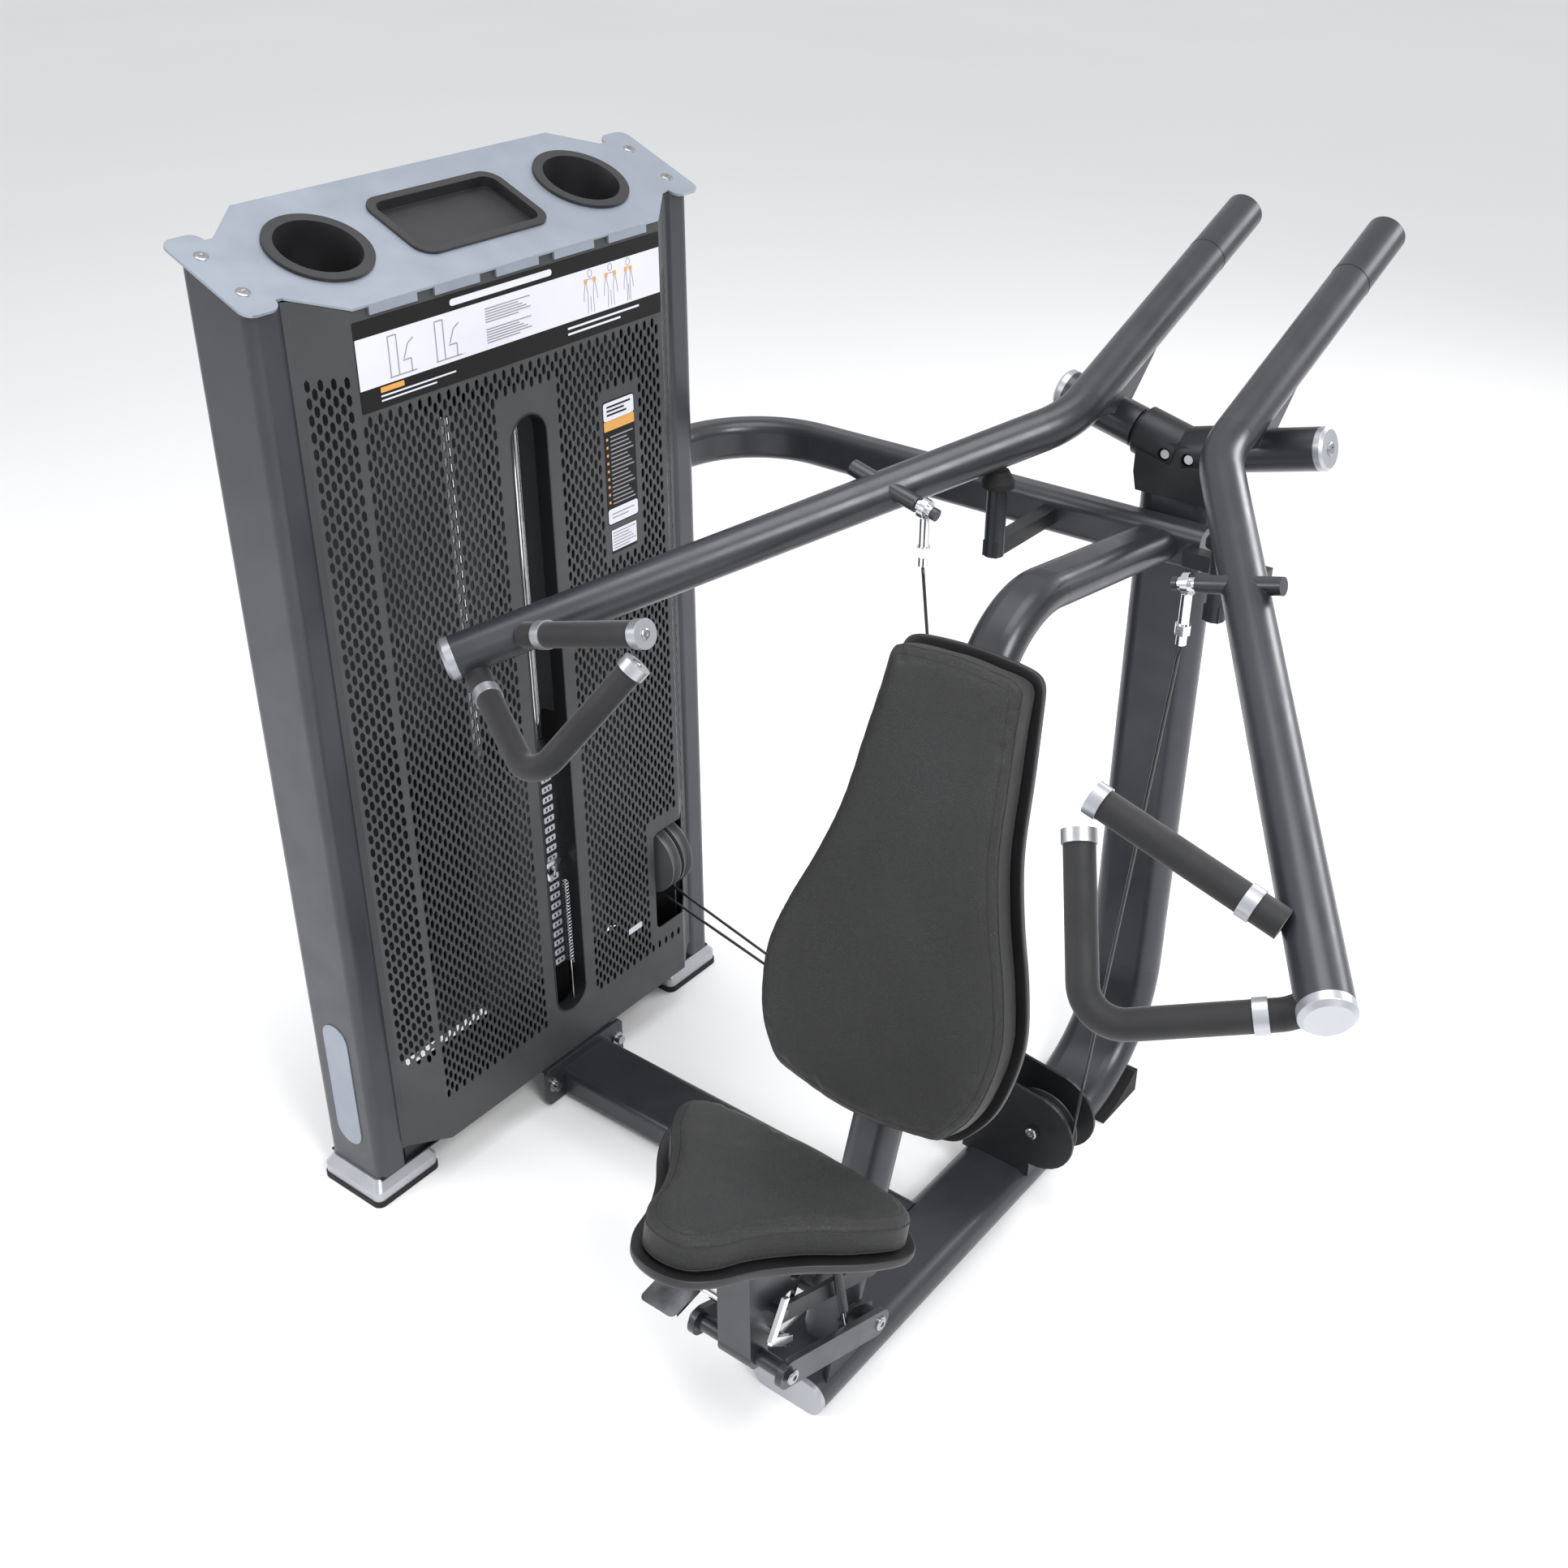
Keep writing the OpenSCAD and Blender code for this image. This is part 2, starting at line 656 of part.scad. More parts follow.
module arm(s) {
  boss = [rod_pin.x, rod_pin.y, rod_pin.z];
  color("#3d3f45") mirror([s < 0 ? 1 : 0, 0, 0]) {
    run(arm_path, arm_turn) ring(arm_r, arm_r - wall);
    translate(arm_path[2]) orient(side(rear_dir), rear_dir) {
      translate([0, 0, -lap]) cylinder(h = tail_len - 5 + lap, r = arm_r * (1 - neck));
      translate([0, 0, tail_len - 5]) cylinder(h = 5, r1 = arm_r * (1 - neck), r2 = arm_r - 5);
    }
    on_hub(1, 83) difference() {
      cylinder(h = 123, r = 31);
      translate([0, 0, -1]) cylinder(h = 130, r = 22 + fit);
    }
    difference() {
      plate_yz(arm_bend.x - 5, 10)
        polygon([[225, 1198], [470, 1294], [455, 1278], [352, 1180], [320, 1180]]);
      on_hub(1, 80) cylinder(h = 140, r = 30);
      run(arm_path, arm_turn) circle(arm_r - wall);
    }
    difference() {
      rod(boss + hub_dir * 13, boss + hub_dir * 128, 12);
      run(arm_path, arm_turn) circle(arm_r - wall);
    }
    rod(boss - hub_dir * 14, boss + hub_dir * 14, 5);
    rod(boss - hub_dir * 21, boss - hub_dir * 13, 9);
  }
}
module arm_right() { arm(1); }
module arm_left() { arm(-1); }

// Straight inward grip, and the bent grip hung below it
grip_a = [[548, -490, 999], [335, -498, 1068]];
grip_b = [[615, -535, 971], [596, -537, 936], [406, -635, 886], [325, -526, 1028]];
grip_bend = 45;
collar_len = 16;

module grips(s) {
  color("#232427") mirror([s < 0 ? 1 : 0, 0, 0]) {
    rod(grip_a[0], grip_a[1], grip_d / 2);
    run(grip_b, grip_bend) circle(d = grip_d);
  }
}
module grips_right() { grips(1); }
module grips_left() { grips(-1); }

module collar(p, d) {
  translate(p) orient(side(d), d) cylinder(h = collar_len, r = grip_d / 2 + 2);
}

module arm_ends(s) {
  da = unit(grip_a[1] - grip_a[0]);
  db = unit(grip_b[3] - grip_b[2]);
  dc = unit(grip_b[2] - grip_b[1]);
  color("#c2c4c9") mirror([s < 0 ? 1 : 0, 0, 0]) {
    difference() {
      translate(arm_path[0]) orient(side(front_dir), front_dir) {
        cylinder(h = cap_t - 5, r = arm_r + 0.5);
        translate([0, 0, cap_t - 5]) cylinder(h = 5, r1 = arm_r + 0.5, r2 = arm_r - 5);
      }
      rod(grip_b[0], grip_b[1], grip_d / 2 + 0.1);
    }
    on_hub(1, 206) {
      cylinder(h = 9, r = 31);
      translate([0, 0, 9]) cylinder(h = 4, r1 = 31, r2 = 27);
    }
    collar(grip_a[1], da);
    collar(grip_b[3], db);
    difference() {
      union() {
        collar(grip_a[0] + da * 32, da);
        collar(grip_b[1] + dc * 30, dc);
      }
      rod(grip_a[0], grip_a[1], grip_d / 2);
      rod(grip_b[1], grip_b[2], grip_d / 2);
    }
  }
}
module arm_ends_right() { arm_ends(1); }
module arm_ends_left() { arm_ends(-1); }

module rod_end(s) {
  p = rod_pin;
  color("#c9cbd0") mirror([s < 0 ? 1 : 0, 0, 0]) {
    difference() {
      union() {
        rod(p - hub_dir * 12, p + hub_dir * 12, 9);
        rod(p - hub_dir * 5, p + hub_dir * 5, 15);
        translate([p.x, p.y, p.z - 56]) cylinder(h = 44, r = 7);
      }
      rod(p - hub_dir * 20, p + hub_dir * 20, 5 + fit);
    }
    translate([p.x, p.y, p.z - 70]) cylinder(h = 14, r = 11, $fn = 6);
    translate([p.x, p.y, p.z - 85]) cylinder(h = 15, r = 7);
  }
}
module rod_end_right() { rod_end(1); }
module rod_end_left() { rod_end(-1); }

// ---------------------------------------------------------------- backrest
// Outline of the backrest: narrow shoulders, wide middle, rounded bottom
back_half = [[100, 78], [116, -45], [128, -150], [151, -235], [178, -310], [196, -380], [194, -440],
             [178, -500], [140, -553]];
function smooth(p, i, t) = let (a = p[max(i - 1, 0)], b = p[i], c = p[i + 1], d = p[min(i + 2, len(p) - 1)])
  0.5 * (2 * b + (c - a) * t + (2 * a - 5 * b + 4 * c - d) * t * t + (3 * b - a - 3 * c + d) * t * t * t);
function curve(p, n) = [for (i = [0 : len(p) - 2], k = [0 : n - 1]) smooth(p, i, k / n), p[len(p) - 1]];
function both_sides(c) = concat(c, [for (i = [len(c) - 1 : -1 : 0]) [-c[i].x, c[i].y]]);

module back_outline(grow) {
  half = concat([[0, 86]], curve(back_half, 3), [[0, -578]]);
  offset(r = grow) offset(r = 22, $fn = 24) offset(delta = -22) polygon(both_sides(half));
}

module back_frame() { translate(back_face) rotate([90 - back_tilt, 0, 0]) children(); }

module backrest_pad() {
  color("#232427") back_frame() translate([0, 0, -pad_t]) linear_extrude(pad_t) back_outline(0);
}

module backrest_shell() {
  color("#1c1d1f") back_frame() {
    translate([0, 0, -pad_t - shell_t - gap]) linear_extrude(shell_t) back_outline(6);
  }
}

// ---------------------------------------------------------------- seat
module seat_bracket() {
  color("#303237") {
    pin_x(-69, 69, link_pivot.y, link_pivot.z, 14.95);
    pin_x(-80, 80, link_pivot.y, link_pivot.z, 9.95);
    pin_x(-50, 50, upper_y, upper_z, 6.95);
    difference() {
      plate_yz(49, 5) polygon([[-600, 40], [-480, 40], [-490, 125], [-535, 150], [-568, 150], [-580, 110]]);
      base_solid();
    }
    pin_x(52, 68, gas_low.y, gas_low.z, 4);
  }
}

module link_shape(a, b, r) {
  hull() {
    translate([a.y, a.z]) circle(r, $fn = 32);
    translate([b.y, b.z]) circle(r, $fn = 32);
  }
}

module seat_links() {
  color("#55585e") {
    for (s = [-1, 1]) difference() {
      plate_yz(s > 0 ? 70 : -80, 10) link_shape(link_pivot, link_front, 21);
      pin_x(-90, 90, link_pivot.y, link_pivot.z, 10);
    }
    pin_x(-70, 70, link_front.y, link_front.z, 12);
    for (s = [-1, 1]) pin_x(s > 0 ? 80 : -84, s > 0 ? 84 : -80, link_front.y, link_front.z, 8);
  }
}

module seat_upper_links() {
  color("#303237") for (s = [-1, 1]) difference() {
    plate_yz(s > 0 ? 42 : -50, 8) link_shape(link_pivot + upper_off, link_front + upper_off, 14);
    pin_x(-60, 60, link_pivot.y + upper_off.y, link_pivot.z + upper_off.z, 7);
    pin_x(-60, 60, link_front.y + upper_off.y, link_front.z + upper_off.z, 7.4);
  }
}

module seat_frame() { translate(seat_top) rotate([-seat_tilt, 0, 0]) children(); }
seat_under = pad_t + shell_t + 2 * gap;

module seat_carriage() {
  upper = link_front + upper_off;
  color("#4a4d53") {
    difference() {
      union() {
        pin_x(-28, 28, link_front.y, link_front.z, 19);
        translate([-28, link_front.y - 18, link_front.z + 8]) cube([56, 50, 230]);
        for (s = [-1, 1]) plate_yz(s > 0 ? 22 : -28, 6)
          polygon([[-730, 215], [-690, 205], [-655, 215], [-585, 330], [-580, 400], [-700, 440],
                   [-730, 440]]);
      }
      pin_x(-40, 40, link_front.y, link_front.z, 12 + fit);
      for (c = [[-652, 248, 13], [-632, 285, 14], [-612, 325, 12]]) pin_x(-40, 40, c[0], c[1], c[2]);
      pin_x(-90, 90, lever_axis.y, lever_axis.z, 6 + fit);
      seat_frame() translate([-200, -300, -seat_under - 6]) cube([400, 600, 300]);
    }
    pin_x(-51, 51, upper.y, upper.z, 7);
    seat_frame() translate([0, 20, -seat_under - 6]) linear_extrude(6) rounded(150, 200, 12);
    difference() {
      plate_yz(49.5, 5) polygon([[-615, 320], [-580, 320], [-570, 395], [-625, 400]]);
      seat_frame() translate([-200, -300, -seat_under - 6]) cube([400, 600, 300]);
    }
    pin_x(52, 68, gas_top.y, gas_top.z, 3.95);
  }
}

lever_axis = [0, -690, 222];
module seat_lever() {
  color("#c9cbd0") {
    pin_x(-150, 58, lever_axis.y, lever_axis.z, 6);
    plate_yz(54, 6) {
      polygon([[-696, 216], [-684, 216], [-684, 230], [-696, 230]]);
      polygon([[-690, 214], [-683, 228], [-720, 256], [-730, 248]]);
      polygon([[-731, 254], [-719, 250], [-690, 304], [-700, 309]]);
    }
    translate([-150, -738, 217]) rotate([8, 0, 0]) linear_extrude(5) translate([30, 24]) rounded(62, 80, 10);
  }
}

module seat_half_outline() {
  polygon(both_sides(concat([[0, 154]], curve([[150, 140], [186, 112], [188, 84], [160, 32], [116, -22],
          [80, -80], [62, -128], [38, -162]], 3), [[0, -174]])));
}

module seat_outline(grow) {
  offset(r = grow) offset(r = 16, $fn = 24) offset(delta = -16) seat_half_outline();
}

module seat_pad() {
  color("#232427") seat_frame() translate([0, 0, -pad_t]) linear_extrude(pad_t) seat_outline(0);
}

module seat_shell() {
  color("#1c1d1f") seat_frame() translate([0, 0, -pad_t - shell_t - gap]) linear_extrude(shell_t)
    seat_outline(8);
}

gas_dir = unit(gas_low - gas_top);
gas_bore = 3;
gas_len = 150;                    // from the upper eye to the cylinder's open end
gas_rod_at = 59.4;                // where the rod starts, inside the cylinder
module gas_cylinder() {
  end = gas_top + gas_dir * gas_len;
  color("#26272a") difference() {
    union() {
      pin_x(gas_top.x - 4, gas_top.x + 4, gas_top.y, gas_top.z, 9);
      rod(gas_top + gas_dir * 6, end, 7);
    }
    pin_x(50, 75, gas_top.y, gas_top.z, 4);
    rod(gas_top + gas_dir * 10, end + gas_dir * 5, gas_bore + 0.3);
  }
}

module gas_rod() {
  color("#d5d7db") difference() {
    union() {
      rod(gas_top + gas_dir * gas_rod_at, gas_low - gas_dir * 8, gas_bore);
      pin_x(gas_low.x - 4, gas_low.x + 4, gas_low.y, gas_low.z, 13);
    }
    pin_x(50, 75, gas_low.y, gas_low.z, 8.5);
  }
}

base_beam();
base_front_cap();
rear_foot();
connector_beam();
frame_bolts();
rear_upright();
cross_tube();
backrest_post();
pivot_housing();
arm_stops();
stop_bumpers();
tower_base();
column_front();
column_rear();
tower_head();
panel_inner();
panel_outer();
top_plate();
cup_holders();
tray();
placard();
badge_plate();
foot_covers();
foot_pads();
guide_rods();
rest_plates();
stack_head();
lifted_plates();
selector_pin();
lanyard_spring();
sheaves_tower();
sheaves_top_near();
sheaves_top_far();
base_pulley_bracket();
sheave_right();
sheave_left();
cable_right();
cable_left();
cable_drops();
cable_span_right();
cable_span_left();
arm_right();
arm_ends_right();
grips_right();
rod_end_right();
arm_left();
arm_ends_left();
grips_left();
rod_end_left();
backrest_shell();
backrest_pad();
seat_bracket();
seat_links();
seat_upper_links();
seat_carriage();
seat_shell();
seat_pad();
seat_lever();
gas_cylinder();
gas_rod();
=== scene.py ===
"""Looks of the shoulder press machine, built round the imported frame.  Metres, +Z up."""
import math

import bpy
import numpy as np
from mathutils import Matrix, Vector
from mathutils.bvhtree import BVHTree
from mathutils.geometry import delaunay_2d_cdt


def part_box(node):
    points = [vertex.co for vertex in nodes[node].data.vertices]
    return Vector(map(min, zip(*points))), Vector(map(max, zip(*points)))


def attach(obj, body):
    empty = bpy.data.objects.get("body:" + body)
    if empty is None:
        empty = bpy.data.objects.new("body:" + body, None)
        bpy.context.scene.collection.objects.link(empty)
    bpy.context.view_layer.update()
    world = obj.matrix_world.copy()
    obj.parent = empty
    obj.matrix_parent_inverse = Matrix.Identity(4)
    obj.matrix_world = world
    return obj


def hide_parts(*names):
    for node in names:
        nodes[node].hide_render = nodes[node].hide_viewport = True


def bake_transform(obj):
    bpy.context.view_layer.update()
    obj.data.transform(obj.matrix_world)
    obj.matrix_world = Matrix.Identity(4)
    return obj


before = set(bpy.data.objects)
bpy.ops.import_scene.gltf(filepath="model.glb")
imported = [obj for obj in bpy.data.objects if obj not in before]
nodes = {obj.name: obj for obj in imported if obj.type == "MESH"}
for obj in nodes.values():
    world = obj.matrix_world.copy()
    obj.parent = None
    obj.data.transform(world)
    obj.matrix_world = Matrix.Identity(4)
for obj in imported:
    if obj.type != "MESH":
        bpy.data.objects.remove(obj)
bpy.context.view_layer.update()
scene = bpy.context.scene

# ---------------------------------------------------------------- camera, light and floor
camera = bpy.data.objects.new("camera", bpy.data.cameras.new("camera"))
scene.collection.objects.link(camera)
camera.location = (1.067, -2.000, 2.080)
camera.rotation_euler = (math.radians(58.91), 0, math.radians(37.82))
camera.data.lens = 41.2
camera.data.sensor_width = 36
camera.data.clip_end = 60
scene.camera = camera
scene.view_settings.view_transform = "Standard"


def area_light(name, place, aim, size, power):
    """Rectangular lamp at a place, turned towards its aim."""
    data = bpy.data.lights.new(name, "AREA")
    data.shape = "RECTANGLE"
    data.size, data.size_y = size
    data.energy = power
    lamp = bpy.data.objects.new(name, data)
    lamp.location = place
    lamp.rotation_euler = (Vector(aim) - Vector(place)).to_track_quat("-Z", "Y").to_euler()
    scene.collection.objects.link(lamp)


MIDDLE = (-0.2, -0.2, 0.6)
area_light("key", (2.6, -1.4, 3.4), MIDDLE, (1.4, 1.8), 110)
area_light("fill", (-2.6, -3.2, 2.6), MIDDLE, (1.8, 1.6), 60)
area_light("rim", (1.2, 3.4, 2.6), MIDDLE, (2.6, 1.2), 80)
area_light("overhead", (-0.3, -0.2, 4.2), MIDDLE, (2.2, 2.2), 60)

world = bpy.data.worlds.new("studio")
scene.world = world
world.use_nodes = True
world.node_tree.nodes["Background"].inputs[0].default_value = (0.93, 0.94, 0.96, 1)
world.node_tree.nodes["Background"].inputs[1].default_value = 0.80


# ---------------------------------------------------------------- materials
def ramp(tree, source, low, high, a, b):
    """Colour ramp from a to b while the source goes from low to high."""
    r = tree.nodes.new("ShaderNodeValToRGB")
    r.color_ramp.elements[0].position = low
    r.color_ramp.elements[1].position = high
    r.color_ramp.elements[0].color = (*a, 1)
    r.color_ramp.elements[1].color = (*b, 1)
    tree.links.new(source, r.inputs[0])
    return r.outputs[0]


def noise(tree, scale, detail=2.0, stretch=None):
    """Noise in object space, drawn out along an axis by stretch."""
    coords = tree.nodes.new("ShaderNodeTexCoord").outputs["Object"]
    if stretch:
        m = tree.nodes.new("ShaderNodeMapping")
        m.inputs["Scale"].default_value = stretch
        tree.links.new(coords, m.inputs["Vector"])
        coords = m.outputs[0]
    n = tree.nodes.new("ShaderNodeTexNoise")
    n.inputs["Scale"].default_value = scale
    n.inputs["Detail"].default_value = detail
    tree.links.new(coords, n.inputs["Vector"])
    return n.outputs["Fac"]


def cells(tree, scale, feature):
    """Distance field of small cells, for grained covers."""
    coords = tree.nodes.new("ShaderNodeTexCoord").outputs["Object"]
    v = tree.nodes.new("ShaderNodeTexVoronoi")
    v.feature = feature
    v.inputs["Scale"].default_value = scale
    tree.links.new(coords, v.inputs["Vector"])
    return v.outputs["Distance"]


def rescale(tree, source, to_low, to_high, from_low=0.3, from_high=0.7):
    """Maps a source value from one range to another."""
    m = tree.nodes.new("ShaderNodeMapRange")
    m.inputs["From Min"].default_value = from_low
    m.inputs["From Max"].default_value = from_high
    m.inputs["To Min"].default_value = to_low
    m.inputs["To Max"].default_value = to_high
    tree.links.new(source, m.inputs["Value"])
    return m.outputs[0]


def tint(colour, k):
    """Colour made k times as bright."""
    return tuple(min(1.0, c * k) for c in colour)


COAT_ROUGH, SHEEN_ROUGH = 0.25, 0.4
ROUGH_DRIFT, ROUGH_LEAST = 0.07, 0.03
WORN_BRIGHTER = 2.6          # a worn edge against its paint
PEBBLE_DEPTH = 0.00028


def material(name, colour, rough, metal=0.0, grain=900, grain_depth=0.00004, vary=0.14, wear=0.0, bevel=0.0,
             coat=0.0, sheen=0.0, pebble=0, brushed=None, specular=0.5):
    """Painted, moulded or polished surface: colour drift, grain, edge wear and softened edges."""
    mat = bpy.data.materials.new(name)
    mat.use_nodes = True
    t = mat.node_tree
    shader = t.nodes["Principled BSDF"]
    shader.inputs["Metallic"].default_value = metal
    shader.inputs["Specular IOR Level"].default_value = specular
    shader.inputs["Coat Weight"].default_value = coat
    shader.inputs["Coat Roughness"].default_value = COAT_ROUGH
    shader.inputs["Sheen Weight"].default_value = sheen
    shader.inputs["Sheen Roughness"].default_value = SHEEN_ROUGH
    base = ramp(t, noise(t, 7, 3), 0.35, 0.65, tint(colour, 1 - vary), tint(colour, 1 + vary))
    fleck = noise(t, grain * 0.55, 2, brushed)
    mix = t.nodes.new("ShaderNodeMix")
    mix.data_type = "RGBA"
    mix.blend_type = "MULTIPLY"
    mix.inputs[0].default_value = 1.0
    t.links.new(base, mix.inputs[6])
    t.links.new(ramp(t, fleck, 0.3, 0.7, (1 - vary,) * 3, (1, 1, 1)), mix.inputs[7])
    out = mix.outputs[2]
    if wear:
        geometry = t.nodes.new("ShaderNodeNewGeometry").outputs["Pointiness"]
        edge = ramp(t, geometry, 0.52, 0.60, (0, 0, 0), (wear,) * 3)
        worn = t.nodes.new("ShaderNodeMix")
        worn.data_type = "RGBA"
        t.links.new(edge, worn.inputs[0])
        t.links.new(out, worn.inputs[6])
        worn.inputs[7].default_value = (*tint(colour, WORN_BRIGHTER), 1)
        out = worn.outputs[2]
    t.links.new(out, shader.inputs["Base Color"])
    smoothest = max(ROUGH_LEAST, rough - ROUGH_DRIFT)
    t.links.new(rescale(t, noise(t, 22, 4), smoothest, rough + ROUGH_DRIFT), shader.inputs["Roughness"])
    bump = t.nodes.new("ShaderNodeBump")
    bump.inputs["Strength"].default_value = 1.0
    bump.inputs["Distance"].default_value = grain_depth
    t.links.new(noise(t, grain, 2, brushed), bump.inputs["Height"])
    last = bump
    if pebble:
        hide = t.nodes.new("ShaderNodeBump")
        hide.inputs["Strength"].default_value = 1.0
        hide.inputs["Distance"].default_value = PEBBLE_DEPTH
        t.links.new(rescale(t, cells(t, pebble, "DISTANCE_TO_EDGE"), 0, 1, 0.0, 0.22), hide.inputs["Height"])
        t.links.new(bump.outputs[0], hide.inputs["Normal"])
        last = hide
    if bevel:
        soft = t.nodes.new("ShaderNodeBevel")
        soft.samples = 4
        soft.inputs["Radius"].default_value = bevel
        t.links.new(soft.outputs[0], bump.inputs["Normal"])
    t.links.new(last.outputs[0], shader.inputs["Normal"])
    return mat


GRAPHITE = (0.030, 0.032, 0.038)
M = {
    "paint": material("graphite_paint", GRAPHITE, 0.36, metal=0.35, grain=1400, wear=0.16, bevel=0.0015,
                      coat=0.25),
    "panel": material("panel_paint", (0.052, 0.054, 0.057), 0.46, metal=0.3, grain=1400, vary=0.08),
    "dark": material("dark_steel", (0.022, 0.024, 0.027), 0.42, metal=0.5, grain=1100, wear=0.12,
                     bevel=0.001),
    "silver": material("silver_paint", (0.30, 0.33, 0.385), 0.40, metal=0.55, grain=1500, vary=0.05,
                       bevel=0.0006),
    "cap": material("cap_satin", (0.46, 0.47, 0.50), 0.33, metal=0.75, grain=1000, vary=0.06, bevel=0.001,
                    brushed=(1, 1, 12)),
    "chrome": material("chrome", (0.74, 0.75, 0.77), 0.14, metal=1.0, grain=700, grain_depth=0.00001,
                       vary=0.04, bevel=0.0005, brushed=(1, 1, 0.05)),
    "zinc": material("zinc_hardware", (0.42, 0.42, 0.43), 0.26, metal=1.0, grain=900, vary=0.1,
                     bevel=0.0005),
    "plate": material("stack_plate", (0.018, 0.018, 0.020), 0.5, metal=0.3, grain=600, wear=0.3,
                      bevel=0.001),
    "rubber": material("rubber", (0.012, 0.012, 0.013), 0.72, grain=900, grain_depth=0.0001, vary=0.2,
                       specular=0.35, bevel=0.001),
    "foam": material("grip_foam", (0.012, 0.0122, 0.0135), 0.66, grain=1600, grain_depth=0.00016, vary=0.22,
                     sheen=0.25, specular=0.4, bevel=0.002),
    "plastic": material("moulded_plastic", (0.014, 0.014, 0.0155), 0.48, grain=1300, grain_depth=0.00008,
                        vary=0.15, specular=0.5, bevel=0.0012),
    "wheel": material("nylon_wheel", (0.11, 0.112, 0.118), 0.4, grain=900, vary=0.12, bevel=0.001),
    "black_wheel": material("black_wheel", (0.02, 0.021, 0.022), 0.38, grain=900, vary=0.15, bevel=0.001),
    "leather": material("grained_cover", (0.017, 0.0175, 0.018), 0.42, grain=2400, grain_depth=0.00003,
                        vary=0.12, pebble=760, sheen=0.05, specular=0.45),
    "thread": material("seam_thread", (0.012, 0.012, 0.012), 0.6, grain=3000, vary=0.3),
    "cable": material("cable_sheath", (0.010, 0.010, 0.011), 0.35, grain=1200, vary=0.2, coat=0.2),
    "print_pale": material("print_pale", (0.60, 0.60, 0.66), 0.34, grain=700, vary=0.03, coat=0.3),
    "print_black": material("print_black", (0.004, 0.004, 0.004), 0.55, grain=700, vary=0.2, specular=0.25),
    "print_grey": material("print_grey", (0.24, 0.24, 0.26), 0.36, grain=700, vary=0.08),
    "print_amber": material("print_amber", (0.62, 0.30, 0.06), 0.36, grain=700, vary=0.08),
    "spring": material("spring_steel", (0.45, 0.46, 0.48), 0.22, metal=1.0, grain=1500, vary=0.1),
}

NODE_LOOK = {
    "paint": ["base_beam", "rear_upright", "cross_tube", "backrest_post", "connector_beam", "column_front",
              "column_rear", "arm_right", "arm_left", "seat_links", "seat_carriage"],
    "dark": ["pivot_housing", "arm_stops", "tower_base", "tower_head", "base_pulley_bracket", "seat_bracket",
             "seat_upper_links", "gas_cylinder"],
    "silver": ["top_plate", "badge_plate"],
    "cap": ["base_front_cap", "foot_covers", "arm_ends_right", "arm_ends_left"],
    "chrome": ["guide_rods", "gas_rod", "selector_pin", "rod_end_right", "rod_end_left", "seat_lever"],
    "zinc": ["frame_bolts"],
    "panel": ["panel_outer"],
    "plate": ["rest_plates", "lifted_plates", "stack_head"],
    "rubber": ["foot_pads", "stop_bumpers", "rear_foot"],
    "foam": ["grips_right", "grips_left"],
    "plastic": ["cup_holders", "tray"],
    "wheel": ["sheaves_tower"],
    "black_wheel": ["sheave_right", "sheave_left", "sheaves_top_near", "sheaves_top_far"],
}


def paint_object(obj, mat):
    """Gives an object this one material."""
    obj.data.materials.clear()
    obj.data.materials.append(mat)


for look, names in NODE_LOOK.items():
    for name in names:
        paint_object(nodes[name], M[look])


# ---------------------------------------------------------------- mesh helpers
def add_mesh(name, verts, faces, look, body, slot, smooth=False, blend=None):
    """New piece from vertices and faces, with its look and the body it rides on; its slot is not used."""
    mesh = bpy.data.meshes.new(name)
    mesh.from_pydata([tuple(v) for v in verts], [], [tuple(f) for f in faces])
    mesh.validate()
    obj = bpy.data.objects.new(name, mesh)
    scene.collection.objects.link(obj)
    finish_piece(obj, look, body, smooth, blend)
    return obj


def finish_piece(obj, look, body, smooth=False, blend=None):
    """Material, shading and body of a piece."""
    paint_object(obj, M[look])
    for p in obj.data.polygons:
        p.use_smooth = smooth
    if blend:
        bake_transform(obj)
    else:
        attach(obj, body)


def apply_modifiers(obj):
    """Makes the modifiers' result the object's own mesh."""
    graph = bpy.context.evaluated_depsgraph_get()
    mesh = bpy.data.meshes.new_from_object(obj.evaluated_get(graph))
    old = obj.data
    obj.modifiers.clear()
    obj.data = mesh
    bpy.data.meshes.remove(old)


def rounded_path(points, radii, step=0.12):
    """Polyline with round bends of the given radii; step is the angle between points on a bend."""
    p = [Vector(q) for q in points]
    out = [p[0]]
    for i in range(1, len(p) - 1):
        a, b = (p[i] - p[i - 1]).normalized(), (p[i + 1] - p[i]).normalized()
        turn = a.angle(b)
        inward = (b - a * a.dot(b)).normalized()
        start = p[i] - a * radii[i] * math.tan(turn / 2)
        count = max(2, math.ceil(turn / step))
        for k in range(count + 1):
            t = turn * k / count
            out.append(start + inward * radii[i] * (1 - math.cos(t)) + a * radii[i] * math.sin(t))
    out.append(p[-1])
    return out


def split_long(points, longest):
    """Adds points so that no stretch is over the longest."""
    out = [points[0]]
    for a, b in zip(points, points[1:]):
        n = max(1, math.ceil((b - a).length / longest))
        out += [a.lerp(b, k / n) for k in range(1, n + 1)]
    return out


